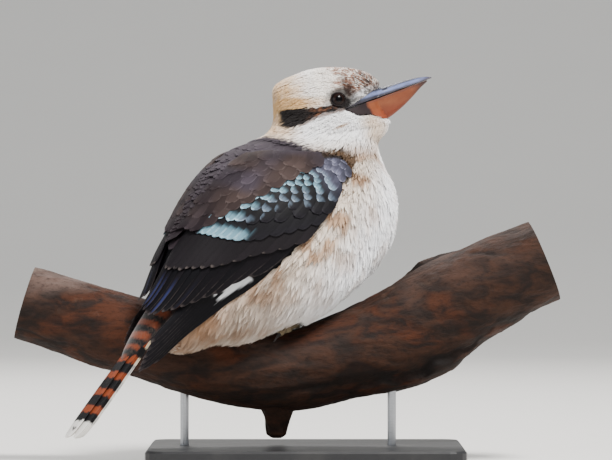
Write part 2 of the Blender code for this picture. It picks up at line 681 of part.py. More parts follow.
def wing_grid(rows, grow=(0.0, 0.0)):
    """Along and around over the first rows of the wing's outline, grown by a little each way."""
    wider, rounder = grow
    share = np.linspace(0, 1, WING_ROWS)[:rows, None]
    down = np.linspace(0, 1, WING_COLUMNS)[None]
    around = np.zeros((rows, WING_COLUMNS))
    for _ in range(3):
        front = profile(WING_FRONT, around) - 2 * wider
        along = front + (WING_END + wider - front) * share
        spine = profile(WING_SPINE_SIDE, along) - rounder
        lower = profile(WING_LOWER_SIDE, along) + rounder
        around = spine + (lower - spine) * down
    return along, np.maximum(around, SPINE_GAP)


def within_outline(along, around, margin=0.3):
    """Draws the edges of a feather back inside the wing's outline."""
    along = np.clip(along, profile(WING_FRONT, around) + 0.006, WING_END - 0.004)
    spine = np.maximum(profile(WING_SPINE_SIDE, along), SPINE_GAP) + margin
    return along, np.clip(around, spine, profile(WING_LOWER_SIDE, along) - margin)


def line_start(line):
    """Where a quill's line starts."""
    share = line / (len(SECONDARY_TIPS) - 1)
    return [low + (high - low) * share for low, high in zip(*LINE_STARTS)]


def on_line(line, along):
    """How far round a quill's line is at a place along it."""
    start, tip = line_start(line), SECONDARY_TIPS[line]
    return start[1] + (tip[1] - start[1]) * (along - start[0]) / (tip[0] - start[0])


def across_lines(values, along, around):
    """A value given for each line, read between the lines at places on the wing."""
    result = np.zeros(along.shape)
    for place in np.ndindex(along.shape):
        turns = [on_line(line, along[place]) for line in range(len(values))]
        result[place] = np.interp(around[place], turns, values)
    return result


def wing_core(name, side, finish, collection):
    """The body of the wing, in which its feathers are rooted."""
    along, around = wing_grid(CORE_ROWS)
    rows, columns = along.shape
    height = across_lines(LINE_HEIGHTS, along, around)
    height += profile(CORE_TOP, along - across_lines(MEDIAN_TIPS, along, around))
    row, column = np.ogrid[:rows, :columns]
    rounding = np.clip(np.minimum(row, columns - 1 - column) / 1.5, 0, 1)
    rounded = CORE_EDGE + (height - CORE_EDGE) * rounding
    height = np.where(row == rows - 1, height - CORE_DROP, rounded)
    top = on_wing(along, around, height, side)
    bottom = on_wing(along, around, np.full_like(along, -WING_BED + GAP), side)
    return sheet(name, top, bottom, finish, collection)


def wing_room(side, finish, collection):
    """The room that a folded wing needs in the body, a gap larger than the wing."""
    along, around = wing_grid(WING_ROWS, ROOM_GROWN)
    top = on_wing(along, around, np.full_like(along, WING_HEADROOM), side)
    bottom = on_wing(along, around, np.full_like(along, -WING_BED), side)
    return sheet("wing_room", top, bottom, finish, collection)


def vane(kind, root, tip, height, rise, dip, side, chance, finish, collection):
    """A thin blade from its root to its tip, with the edge away from the spine raised.

    It rises by rise along its length, and its root dips down into what carries it."""
    half, tilt, steps = VANES[kind]
    half = half * chance.uniform(0.96, 1.03)
    tip = (tip[0] + chance.uniform(-0.004, 0.004), tip[1] + chance.uniform(-0.5, 0.5))
    steps = np.array(steps)[:, None]
    ahead = (tip[0] - root[0]) * LINE_LENGTH
    aside = math.radians(tip[1] - root[1]) * WING_RADIUS
    size = math.hypot(ahead, aside)
    offset = half * profile(VANE_WIDTHS, steps) * np.array([[-1.0, 1.0]])
    along = root[0] + (tip[0] - root[0]) * steps - offset * aside / size / LINE_LENGTH
    around = root[1] + (tip[1] - root[1]) * steps + np.degrees(offset * ahead / size / WING_RADIUS)
    along, around = within_outline(along, around)
    top = height + rise * steps + tilt * offset - dip * np.clip(1 - steps / 0.5, 0, 1) ** 2
    bottom = on_wing(along, around, top - VANE_THICKNESS, side)
    return sheet(kind, on_wing(along, around, top, side), bottom, finish, collection)


def arm_feathers(side, chance, finish, collection):
    """Secondaries and tertials, and the greater and median coverts that lie on them."""
    made = []
    for line, (tip, height) in enumerate(zip(SECONDARY_TIPS, LINE_HEIGHTS)):
        inner = MEDIAN_TIPS[line]
        rows = [("secondary", tip[0], 0.0), ("greater", GREATER_TIPS[line], 0.0)]
        if line >= MEDIAN_FIRST:
            rows.append(("median", inner, MEDIAN_DIP))
        for tier, (kind, end, dip) in enumerate(rows):
            start = inner - ARM_ROOTS[tier]
            root, point = (start, on_line(line, start)), (end, on_line(line, end))
            level = height + tier * TIER
            made.append(vane(kind, root, point, level, 0.0, dip, side, chance, finish, collection))
    return made


def primaries(side, chance, finish, collection):
    """The wing's tip: primaries from the innermost, on top, to the outermost."""
    made = []
    last = len(PRIMARY_TIPS) - 1
    for number, tip in enumerate(PRIMARY_TIPS):
        root = [low + (high - low) * number / last for low, high in zip(*PRIMARY_STARTS)]
        height = PRIMARY_HEIGHT + PRIMARY_STEP * (last - number)
        made.append(vane("primary", root, tip, height, 0.0, 0.0, side, chance, finish, collection))
    return made


def scapulars(side, chance, finish, collection):
    """The shoulder's long feathers, in rows that lie over one another like tiles."""
    made = []
    for row in range(SCAPULAR_ROWS):
        for along, around, shift in SCAPULAR_TIPS:
            tip = (along - row * SCAPULAR_STEP, around - row * shift)
            start = max(tip[0] - SCAPULAR_LENGTH, float(profile(WING_FRONT, tip[1])) + 0.012)
            if tip[0] - start < SCAPULAR_LENGTH * 0.6 or tip[1] < profile(WING_SPINE_SIDE, tip[0]) + 2:
                continue
            root = (start, tip[1] - shift * (tip[0] - start) / SCAPULAR_STEP)
            turns = (SECONDARY_TIPS[0][1], SECONDARY_TIPS[-1][1])
            height = np.interp(around, turns, (LINE_HEIGHTS[0], LINE_HEIGHTS[-1])) + 2 * TIER
            made.append(vane("scapular", root, tip, height, SCAPULAR_RISE, SCAPULAR_DIP, side, chance,
                             finish, collection))
    return made


def make_wing(name, side, finish, collection):
    wing = wing_core(name, side, finish, collection)
    chance = random.Random(name)
    feathers = primaries(side, chance, finish, collection)
    feathers += arm_feathers(side, chance, finish, collection)
    feathers += scapulars(side, chance, finish, collection)
    combine(wing, feathers, "UNION")
    return wing


def mantle(finish, collection):
    """The back between the wings, raised to their height."""
    along = np.linspace(*MANTLE_ENDS, 9)[:, None]
    wide = profile(WING_SPINE_SIDE, along) + 3
    around = wide * np.linspace(-1, 1, 5)[None]
    along = np.broadcast_to(along, around.shape)
    top = on_wing(along, around, profile(MANTLE_TOP, along), 1)
    bottom = on_wing(along, around, np.full_like(along, -MANTLE_SUNK), 1)
    return sheet("mantle", top, bottom, finish, collection)


# Feet

def foot_path(name, toe, extra):
    """Points along a toe on the perch, from the foot's middle to the claw, and their radii."""
    right, around = FEET_PLACES[name]
    heading, length = TOES[toe]
    if name == "left":
        heading = heading - 6
    steps = np.linspace(0.0, 1.0, 5)
    radius = float(perch_frame(perch_share(right))[1][0]) + TOE_RADIUS
    travel = steps * length
    shares = perch_share(right + travel * math.cos(math.radians(heading)))
    turns = around - np.degrees(travel * math.sin(math.radians(heading)) / radius)
    thickness = TOE_RADIUS * (1.0 - 0.30 * steps) + extra
    return shares, turns, thickness


def tube(name, points, radii, sides, finish, collection):
    """A round tube through points, with its own radius at each."""
    points = np.array(points)
    ways = np.gradient(points, axis=0)
    ways /= np.linalg.norm(ways, axis=1)[:, None]
    rings = []
    for point, way, radius in zip(points, ways, radii):
        side = np.cross(way, (0.31, 0.9, 0.27))
        side /= np.linalg.norm(side)
        other = np.cross(way, side)
        angles = np.linspace(0, 2 * math.pi, sides, endpoint=False)[:, None]
        rings.append(point + radius * (np.cos(angles) * side + np.sin(angles) * other))
    return loft(name, rings, finish, collection)


def foot_pieces(name, extra, finish, collection):
    """The toes, pad and shank of one foot, each a closed piece, extra thicker."""
    pieces = []
    for toe in TOES:
        shares, turns, radii = foot_path(name, toe, extra)
        heights = TOE_RADIUS * (0.95 - 0.25 * np.linspace(0, 1, len(shares)))
        pieces.append(tube("toe", on_perch(shares, turns, heights), radii, 7, finish, collection))
    right, around = FEET_PLACES[name]
    share = perch_share(right)
    pad = on_perch(share, around, TOE_RADIUS)
    shank = on_perch(share, around, np.array([0.001, 0.006, 0.013 + extra]))
    pieces.append(tube("shank", shank, np.array([0.0036, 0.0032, 0.0036]) + extra, 8, finish, collection))
    pieces.append(ball("pad", pad, 0.0040 + extra, finish, collection, 8, 6))
    return pieces


def foot_room(name, finish, collection):
    """The room that a foot needs under the belly: the hull of its toes, and its shank."""
    *toes, shank, pad = foot_pieces(name, GAP, finish, collection)
    toes += [pad] + [claw("claw_room", name, toe, GAP, finish, collection) for toe in TOES]
    bm = bmesh.new()
    for obj in toes:
        for vert in obj.data.vertices:
            bm.verts.new(vert.co)
        bpy.data.objects.remove(obj)
    hull = bmesh.ops.convex_hull(bm, input=bm.verts)
    inner = {v for v in hull["geom_interior"] + hull["geom_unused"] if isinstance(v, bmesh.types.BMVert)}
    bmesh.ops.delete(bm, geom=list(inner), context="VERTS")
    return [from_bmesh("foot_room", bm, finish, collection), shank]


def make_leg(name, skin, collection):
    pieces = foot_pieces(name, 0.0, skin, collection)
    leg = pieces[0]
    leg.name = "leg_" + name
    combine(leg, pieces[1:], "UNION")
    combine(leg, [perch_skin("perch_room", GAP, skin, collection)], "DIFFERENCE")
    return leg


def claw(name, foot, toe, extra, finish, collection):
    """A short curved claw from the end of a toe down to the bark."""
    shares, turns, _ = foot_path(foot, toe, 0.0)
    length = TOES[toe][1]
    steps = np.linspace((GAP - extra) / CLAW_LENGTH, 1, 5)
    stretch = steps * CLAW_LENGTH / (length / (len(shares) - 1))
    heights = np.interp(steps, np.linspace(0, 1, 5), np.array([0.70, 0.76, 0.70, 0.54, 0.34]) * TOE_RADIUS)
    points = on_perch(shares[-1] + (shares[-1] - shares[-2]) * stretch,
                      turns[-1] + (turns[-1] - turns[-2]) * stretch, heights)
    return tube(name, points, CLAW_RADIUS * (1 - 0.78 * steps) + extra, 5, finish, collection)


# Assembly

def make_torso(plumage, collection):
    centre = on_body((0.0, 0.0, 0.062))
    pole = turn(BODY_YAW, 50)[:, 0]
    torso = cast_ball("torso", centre, pole, 40, 24, FORMS, plumage, collection)
    combine(torso, [mantle(plumage, collection)], "UNION")
    point, normal = FEET + np.array(NECK_FOOT[0]), np.array(NECK_FOOT[1])
    normal /= np.linalg.norm(normal)
    trim(torso, point - normal * GAP / 2, normal)
    trim(torso, on_tail(TAIL_CUT - GAP / 2, 0.0, 0.0), TAIL[:, 0])
    for side in (1, -1):
        combine(torso, [wing_room(side, plumage, collection)], "DIFFERENCE")
    combine(torso, [perch_skin("perch_room", GAP, plumage, collection)], "DIFFERENCE")
    for foot in FEET_PLACES:
        for room in foot_room(foot, plumage, collection):
            combine(torso, [room], "DIFFERENCE")
    return torso


def tail_root_centre(along):
    """Middle of the tail's root at a place along it, lower where the vent's plumage hangs."""
    return on_tail(along, 0.0, profile(TAIL_ROOT_LINE, along))


def tail_feather(aside, out, level, length, finish, collection):
    """One long feather of the closed tail; aside is 1 on the bird's right and -1 on its left."""
    steps = np.array([0.0, 0.35, 0.68, 0.92, 1.0])[:, None]
    along = TAIL_ROOT + (length - TAIL_ROOT) * steps
    offset = TAIL_HALF * profile(VANE_WIDTHS, steps) * np.array([[-1.0, 1.0]])
    across = aside * (out + TAIL_SPLAY * steps * (out / TAIL_HALF) + offset)
    above = level - 0.10 * np.maximum(offset, 0) * (out > TAIL_HALF / 2)
    top, bottom = on_tail(along, across, above), on_tail(along, across, above - VANE_THICKNESS)
    return sheet("tail_feather", top, bottom, finish, collection)


def make_tail(plumage, collection):
    rings = [section(tail_root_centre(along), TAIL[:, 0], 20, FORMS)
             for along in (TAIL_CUT + GAP / 2, 0.050, 0.062, 0.073, 0.082, 0.088)]
    tail = loft("tail", rings, plumage, collection)
    feathers = []
    for pair, shorter in enumerate(TAIL_SHORTER):
        for aside in (1, -1):
            if pair == 0:
                out, level = 0.0006, TAIL_STEP / 2 * aside
            else:
                out, level = TAIL_HALF + 0.00025 + TAIL_SPREAD * (pair - 1), -TAIL_STEP * (pair + 0.5)
            feathers.append(tail_feather(aside, out, level, TAIL_LENGTH - shorter, plumage, collection))
    combine(tail, feathers, "UNION")
    for side in (1, -1):
        combine(tail, [wing_room(side, plumage, collection)], "DIFFERENCE")
    combine(tail, [perch_skin("perch_room", GAP, plumage, collection)], "DIFFERENCE")
    return tail


def build():
    for obj in list(bpy.data.objects):
        bpy.data.objects.remove(obj)
    collection = bpy.data.collections.new(COLLECTION)
    bpy.context.scene.collection.children.link(collection)
    white = material("cream_plumage", (0.72, 0.66, 0.56), 0.9)
    brown = material("dark_plumage", (0.045, 0.036, 0.034), 0.8)
    barred = material("barred_plumage", (0.34, 0.13, 0.05), 0.8)
    slate = material("bill_slate", (0.05, 0.055, 0.07), 0.35)
    horn = material("bill_horn", (0.62, 0.30, 0.20), 0.4)
    dark = material("eye_dark", (0.015, 0.010, 0.008), 0.08)
    skin = material("foot_skin", (0.42, 0.36, 0.26), 0.6)
    black = material("claw_black", (0.03, 0.028, 0.027), 0.35)
    bark = material("perch_bark", (0.11, 0.055, 0.03), 0.85)
    paint = material("base_paint", (0.03, 0.03, 0.032), 0.5)
    steel = material("rod_steel", (0.55, 0.55, 0.56), 0.3, 1.0)

    branch = make_perch(bark, collection)
    make_stand(branch, paint, steel, collection)
    make_torso(white, collection)
    make_neck(white, collection)
    make_head(white, collection)
    make_bill(slate, horn, collection)
    make_eyes(dark, collection)
    make_tail(barred, collection)
    for name, side in (("wing_right", 1), ("wing_left", -1)):
        make_wing(name, side, brown, collection)
    for foot in FEET_PLACES:
        make_leg(foot, skin, collection)
        for toe in TOES:
            claw("claw_" + foot + "_" + toe, foot, toe, 0.0, black, collection)
    for obj in collection.objects:
        smooth(obj)


build()
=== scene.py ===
# Looks of the laughing kookaburra: skin, plumage, bill, eyes, feet, branch and stand, built over the
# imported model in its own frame. Metres and degrees, +Z up, the bird seen from its right side.
import itertools
import math

import bpy
import numpy as np
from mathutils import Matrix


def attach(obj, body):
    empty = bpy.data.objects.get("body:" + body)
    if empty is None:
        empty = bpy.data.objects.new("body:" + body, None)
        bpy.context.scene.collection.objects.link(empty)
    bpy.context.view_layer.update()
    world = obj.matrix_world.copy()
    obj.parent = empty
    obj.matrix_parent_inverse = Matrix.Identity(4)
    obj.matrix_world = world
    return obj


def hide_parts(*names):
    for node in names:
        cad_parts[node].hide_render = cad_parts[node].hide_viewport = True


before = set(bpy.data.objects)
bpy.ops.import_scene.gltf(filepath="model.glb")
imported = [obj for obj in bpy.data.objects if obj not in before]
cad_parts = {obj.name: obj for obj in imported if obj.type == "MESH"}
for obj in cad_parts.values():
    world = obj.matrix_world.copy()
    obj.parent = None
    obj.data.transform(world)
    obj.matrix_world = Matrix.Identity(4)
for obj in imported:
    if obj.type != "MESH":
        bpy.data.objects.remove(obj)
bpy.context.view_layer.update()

# Body forms, the same as in the solids: centre, half sizes, pitch; the head's centres are right and up
body = {
    "feet": (-0.025, 0.0, 0.094), "yaw": 35, "headSide": 0.020, "blend": 0.005,
    "trunkForms": (
        ((0.000, 0.000, 0.062), (0.084, 0.056, 0.055), 50),
        ((0.048, 0.000, 0.080), (0.052, 0.050, 0.048), 66),
        ((0.020, 0.000, 0.044), (0.058, 0.050, 0.031), 20),
        ((0.008, -0.024, 0.054), (0.056, 0.032, 0.042), 34),
        ((0.008, 0.024, 0.054), (0.056, 0.032, 0.042), 34),
        ((-0.018, 0.000, 0.078), (0.058, 0.048, 0.0355), 46),
        ((-0.058, 0.000, 0.044), (0.046, 0.031, 0.025), 52),
        ((-0.046, 0.000, 0.021), (0.050, 0.029, 0.020), 40),
    ),
    "headForms": (
        ((0.033, 0.158), (0.030, 0.025, 0.0235), 10),
        ((0.057, 0.165), (0.021, 0.018, 0.0155), 2),
        ((0.042, 0.142), (0.032, 0.025, 0.017), 10),
        ((0.068, 0.144), (0.015, 0.014, 0.009), 0),
        ((0.038, 0.124), (0.036, 0.030, 0.022), -14),
    ),
    "tailBase": (-0.0656, 0.0, 0.0456), "tailPitch": 49.5,
    "tailCoverts": ((0.045, 0.0, -0.001), (0.047, 0.0145, 0.0095)),
    "lineStart": (0.034, 0.0, 0.112), "lineEnd": (-0.124, 0.0, -0.034), "wingRadius": 0.047,
    "fairing": ((-0.082, 0.0, 0.005), (0.084, 0.020, 0.018), 43),
    "gape": (0.0539, 0.1533), "billPitch": 20.6,
    # how much shorter and nearer the spine each wing's tip lies
    "wingTuck": {1: (0.0, 0.0), -1: (0.24, 0.24)},
}
feet = np.array(body["feet"])


# Frames and fields

def stacked(*parts):
    return np.stack(np.broadcast_arrays(*parts), axis=-1)


def unit(ways):
    return ways / np.maximum(np.linalg.norm(ways, axis=-1, keepdims=True), 1e-12)


def tone(red, green, blue):
    # a colour as seen on screen, 0 to 255, made linear
    share = np.array((red, green, blue)) / 255
    return np.where(share < 0.04045, share / 12.92, ((share + 0.055) / 1.055) ** 2.4)


def turn(yaw, pitch):
    # columns forward, left and up of a frame turned by yaw and tipped up by pitch
    yaw, pitch = math.radians(yaw), math.radians(pitch)
    forward = np.array([math.cos(pitch) * math.cos(yaw), math.cos(pitch) * math.sin(yaw), math.sin(pitch)])
    left = np.array([-math.sin(yaw), math.cos(yaw), 0.0])
    return np.stack([forward, left, np.cross(forward, left)], axis=1)


bodyFrame = turn(body["yaw"], 0)
tailFrame = turn(body["yaw"], body["tailPitch"]) * np.array([-1, -1, 1])
billFrame = turn(0, body["billPitch"])


# A place of the head's middle plane, from the feet.
def headPlace(right, up):
    return np.array([right, body["headSide"], up])


gape = headPlace(*body["gape"])


def onBody(place):
    return feet + np.asarray(place, float) @ bodyFrame.T


def onTail(along, aside, above):
    return onBody(body["tailBase"]) + stacked(along, aside, above) @ tailFrame.T


def onBill(along, aside, above):
    return feet + gape + stacked(along, aside, above) @ billFrame.T


# The plumage of the head lies away from a place inside the bill.
billSource = feet + gape + 0.020 * billFrame[:, 0]


def listForms():
    forms = [(onBody(centre), turn(body["yaw"], pitch), np.array(radii))
             for centre, radii, pitch in body["trunkForms"]]
    forms += [(feet + headPlace(*centre), turn(0, pitch), np.array(radii))
              for centre, radii, pitch in body["headForms"]]
    centre, radii = body["tailCoverts"]
    bodyShape = forms + [(onTail(*centre), tailFrame, np.array(radii))]
    centre, radii, pitch = body["fairing"]
    return bodyShape, bodyShape + [(onBody(centre), turn(body["yaw"], pitch), np.array(radii))]


bodyShape, wingShape = listForms()


# Distance outside the blended ellipsoids, negative inside, and its slope: each form gives
# k(k-1)/m, where k is the length of the place over its radii and m that over their squares.
def field(points, forms=bodyShape):
    blend = body["blend"]
    total = np.zeros(len(points))
    slope = np.zeros((len(points), 3))
    for centre, axes, radii in forms:
        local = (points - centre) @ axes
        ratio = np.linalg.norm(local / radii, axis=1)
        steep = np.maximum(np.linalg.norm(local / radii ** 2, axis=1), 1e-9)
        weight = np.exp(-ratio * (ratio - 1) / steep / blend)
        total += weight
        slope += (weight / steep)[:, None] * (local / radii ** 2) @ axes.T
    return -blend * np.log(total), unit(slope)


# Moves points straight to the surface of a level, by a few steps along the slope.
def settle(points, level, rounds):
    for _ in range(rounds):
        value, slope = field(points)
        points = points - slope * np.clip(value - level, -0.004, 0.004)[:, None]
    return points, slope


# How far each ray runs before it leaves the surface of its level: the first of even steps, then halves.
def reach(origins, directions, level=0.0, forms=bodyShape, limit=0.24):
    level = np.broadcast_to(level, len(origins))
    steps = np.linspace(0, limit, 61)
    walk = (origins[:, None] + directions[:, None] * steps[None, :, None]).reshape(-1, 3)
    values = field(walk, forms)[0].reshape(len(origins), -1)
    first = np.maximum(np.argmax(values > level[:, None], axis=1), 1)
    low, high = steps[first - 1], steps[first]
    for _ in range(16):
        middle = (low + high) / 2
        inside = field(origins + directions * middle[:, None], forms)[0] < level
        low = np.where(inside, middle, low)
        high = np.where(inside, high, middle)
    return (low + high) / 2


lineStart, lineEnd = np.array(body["lineStart"]), np.array(body["lineEnd"])
lineLength = float(np.linalg.norm(lineEnd - lineStart))
lineWay = (lineEnd - lineStart) / lineLength
spineWay = np.array([lineWay[2], 0.0, -lineWay[0]])


# Place over the body: share along the line from shoulder to wing tip, degrees round it from the spine.
def onWing(along, around, height, side):
    along, around, height = np.broadcast_arrays(along, around, height)
    shorter, nearer = body["wingTuck"][side]
    around = around * (1 - nearer * np.clip((along - 0.5) / 0.35, 0, 1))
    along = along - shorter * np.maximum(along - 0.6, 0)
    origins = onBody(lineStart + along.reshape(-1, 1) * (lineEnd - lineStart))
    angle = np.radians(around.reshape(-1, 1)) * side
    directions = (np.cos(angle) * spineWay + np.sin(angle) * np.array([0.0, -1.0, 0.0])) @ bodyFrame.T
    distance = reach(origins, directions, height.reshape(-1), wingShape)
    return (origins + directions * distance[:, None]).reshape(*along.shape, 3)


# The same place read back from points: along, and degrees round, positive on the bird's right.
def wingPlace(points):
    local = (points - feet) @ bodyFrame - lineStart
    along = local @ lineWay
    across = local - along[:, None] * lineWay
    return along / lineLength, np.degrees(np.arctan2(-across[:, 1], across @ spineWay))


def smoothStep(low, high, value):
    share = np.clip((value - low) / (high - low), 0, 1)
    return share * share * (3 - 2 * share)


def between(pairs, value):
    return np.interp(value, *zip(*pairs))


# A smooth curve through pairs, by cubic pieces that share their slopes.
def curveThrough(pairs, value):
    table = np.array(pairs, float)
    xs, ys = table[:, 0], table[:, 1:]
    slopes = np.gradient(ys, xs, axis=0)
    value = np.atleast_1d(value)
    index = np.clip(np.searchsorted(xs, value) - 1, 0, len(xs) - 2)
    width = xs[index + 1] - xs[index]
    t = ((value - xs[index]) / width)[:, None]
    width = width[:, None]
    return ((1 + 2 * t) * (1 - t) ** 2 * ys[index] + t * (1 - t) ** 2 * width * slopes[index]
            + t * t * (3 - 2 * t) * ys[index + 1] + t * t * (t - 1) * width * slopes[index + 1])


# Smooth noise from 0 to 1: values at the corners of a lattice of cells of this size, blended.
noiseTable = np.random.default_rng(5).random(65536)


def noise(points, size, seed=0):
    cell = np.asarray(points, float) / size + 1000
    corner = np.floor(cell).astype(np.int64)
    part = cell - corner
    part = part * part * (3 - 2 * part)
    total = 0
    for step in itertools.product((0, 1), repeat=3):
        x, y, z = (corner + step).T
        value = noiseTable[(x * 12289 + y * 35317 + z * 51511 + seed * 7919) % len(noiseTable)]
        wx, wy, wz = np.where(step, part, 1 - part).T
        total = total + value * (wx * wy) * wz
    return total


def blendTo(colour, other, mask):
    return colour + (np.asarray(other) - colour) * np.asarray(mask)[..., None]


# Bare sides of the bill between the feathers' edges: place along it, lower and upper edge
bareSides = np.array(((-0.0015, -0.0004, 0.0008), (0.0, -0.0012, 0.0011), (0.0057, -0.0064, 0.0018),
                      (0.0138, -0.0086, 0.0034), (0.0172, -0.0112, 0.0042), (0.0195, -0.0131, 0.0048),
                      (0.0257, -0.0168, 0.0064), (0.0300, -0.0200, 0.0110), (0.0320, -0.0300, 0.0200)))


# 1 inside the bare sides by more than a margin, 0 outside, seen from the side.
def bare(points, margin):
    local = (points - feet - gape) @ billFrame
    low, high = (np.interp(local[:, 0], bareSides[:, 0], bareSides[:, edge]) for edge in (1, 2))
    inside = np.minimum(local[:, 2] - low, high - local[:, 2])
    return smoothStep(-0.0003, 0.0003, inside - margin) * (local[:, 0] > bareSides[0, 0])


# How far the plumage stands over the forms: on the back, by share along and within so many degrees of
# the spine, to meet the wings' height; and in the crest of the nape, by its centre, sizes and height.
rise = {
    "top": ((-0.06, 0.0), (0.0, 0.0010), (0.05, 0.0022), (0.12, 0.0044), (0.20, 0.0058), (0.45, 0.0058),
            (0.52, 0.0040), (0.60, 0.0010), (0.66, 0.0)),
    "sides": ((-0.06, 60), (0.0, 58), (0.05, 48), (0.10, 30), (0.15, 17), (0.45, 4), (0.60, 3), (0.7, 3)),
    "crest": ((0.0100, 0.1715), (0.012, 0.016, 0.0070), 0.0042),
}


def backRise(points):
    along, around = wingPlace(points)
    wide = between(rise["sides"], along)
    centre, sizes, height = rise["crest"]
    local = (points - feet - headPlace(*centre)) / np.array(sizes)
    crest = height * np.exp(-np.sum(local ** 2, axis=1))
    return between(rise["top"], along) * (1 - smoothStep(wide - 2, wide + 7, np.abs(around))) + crest


# Meshes

def buildMesh(name, points, faces, finish, colours=None, vane=None, bakeMap=None, sharp=60, place=None):
    # faces is a list of whole arrays, each of faces with the same number of corners
    mesh = bpy.data.meshes.new(name)
    points = np.asarray(points, np.float32).reshape(-1, 3)
    loops = np.concatenate([np.asarray(part, np.int32).ravel() for part in faces])
    counts = np.concatenate([np.full(len(part), np.asarray(part).shape[1], np.int32) for part in faces])
    starts = np.concatenate([[0], np.cumsum(counts)[:-1]]).astype(np.int32)
    mesh.vertices.add(len(points))
    mesh.vertices.foreach_set("co", points.ravel())
    mesh.loops.add(len(loops))
    mesh.loops.foreach_set("vertex_index", loops)
    mesh.polygons.add(len(counts))
    mesh.polygons.foreach_set("loop_start", starts)
    mesh.polygons.foreach_set("loop_total", counts)
    mesh.update(calc_edges=True)
    # faces turned outwards: the signed volume of the cones from the middle to each face is positive
    spokes = points - points.mean(axis=0)
    volume = 0.0
    for part in faces:
        ring = spokes[np.asarray(part)]
        for second in range(1, ring.shape[1] - 1):
            volume += np.sum(ring[:, 0] * np.cross(ring[:, second], ring[:, second + 1]))
    if volume < 0:
        mesh.flip_normals()
    if colours is not None:
        layer = mesh.attributes.new("coat", "FLOAT_COLOR", "POINT")
        whole = np.zeros((len(points), 4), np.float32)
        whole[:, :3] = np.asarray(colours).reshape(len(points), 3)
        layer.data.foreach_set("color", whole.ravel())
    for key, values in (("vane", vane), ("place", place)):
        if values is not None:
            layer = mesh.attributes.new(key, "FLOAT_VECTOR", "POINT")
            layer.data.foreach_set("vector", np.asarray(values, np.float32).ravel())
    if bakeMap is not None:
        layer = mesh.uv_layers.new(name="OFBake")
        mesh.loops.foreach_get("vertex_index", loops)
        layer.data.foreach_set("uv", np.asarray(bakeMap, np.float32).reshape(-1, 2)[loops].ravel())
    mesh.shade_smooth()
    if sharp is not None:
        mesh.set_sharp_from_angle(angle=math.radians(sharp))
    mesh.materials.append(finish)
    piece = bpy.data.objects.new(name, mesh)
    bpy.context.scene.collection.objects.link(piece)
    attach(piece, "root")
    return piece


# Faces of one grid, rows by columns, closed round its columns if asked.
def gridFaces(rows, columns, closed=False):
    row = np.arange(rows - 1)[:, None] * columns
    column = np.arange(columns if closed else columns - 1)[None]
    first, second = row + column, row + (column + 1) % columns
    return np.stack([first, second, second + columns, first + columns], axis=-1).reshape(-1, 4)


# Faces of a number of tubes side by side, each of rows rings of columns points, closed at both ends.
def tubeFaces(count, rows, columns):
    start = np.arange(count)[:, None] * rows * columns
    quads = (start[:, None] + gridFaces(rows, columns, True)).reshape(-1, 4)
    ring = np.arange(columns)
    return [quads, np.concatenate([start + ring[::-1], start + (rows - 1) * columns + ring])]


# An even map of a grid's rows and columns, this far in from the edges.
def sheetMap(rows, columns, edge=0.02):
    return stacked(np.linspace(edge, 1 - edge, columns)[None], np.linspace(edge, 1 - edge, rows)[:, None])


# Place of each point on an unwrap of the skin: along and round the body, the head in its own corner.
def skinMap(points):
    along, around = wingPlace(points)
    trunk = stacked(0.02 + 0.60 * (np.clip(along, -0.5, 1.3) + 0.5) / 1.8, 0.5 + 0.48 * around / 180)
    local = unit(points - feet - headPlace(0.045, 0.155))
    polar = np.arccos(np.clip(local[:, 0], -1, 1)) / math.pi
    spin = np.arctan2(local[:, 1], local[:, 2]) / math.pi
    head = stacked(0.66 + 0.32 * polar, 0.5 + 0.48 * spin)
    return np.where((points[:, 2] > feet[2] + 0.135)[:, None], head, trunk)


# Materials

class Wire:
    # a socket of a material, with which sums are written as plain expressions
    def __init__(self, shop, socket):
        self.shop, self.socket = shop, socket

    def maths(self, operation, *values):
        return self.shop.node("ShaderNodeMath", {"operation": operation}, dict(enumerate(values)))

    def __add__(self, other):
        return self.maths("ADD", self, other)

    def __sub__(self, other):
        return self.maths("SUBTRACT", self, other)

    def __rsub__(self, other):
        return self.maths("SUBTRACT", other, self)

    def __mul__(self, other):
        return self.maths("MULTIPLY", self, other)

    def __abs__(self):
        return self.maths("ABSOLUTE", self)

    def sine(self):
        return self.maths("SINE", self)

    def orMore(self, other):
        return self.maths("MAXIMUM", self, other)

    def above(self, low, high):
        # 0 under low, 1 over high, and a smooth way between
        return self.shop.node("ShaderNodeMapRange", {"interpolation_type": "SMOOTHSTEP", "clamp": True},
                              {"Value": self, "From Min": low, "From Max": high, "To Min": 0.0, "To Max": 1.0})

    __radd__, __rmul__ = __add__, __mul__


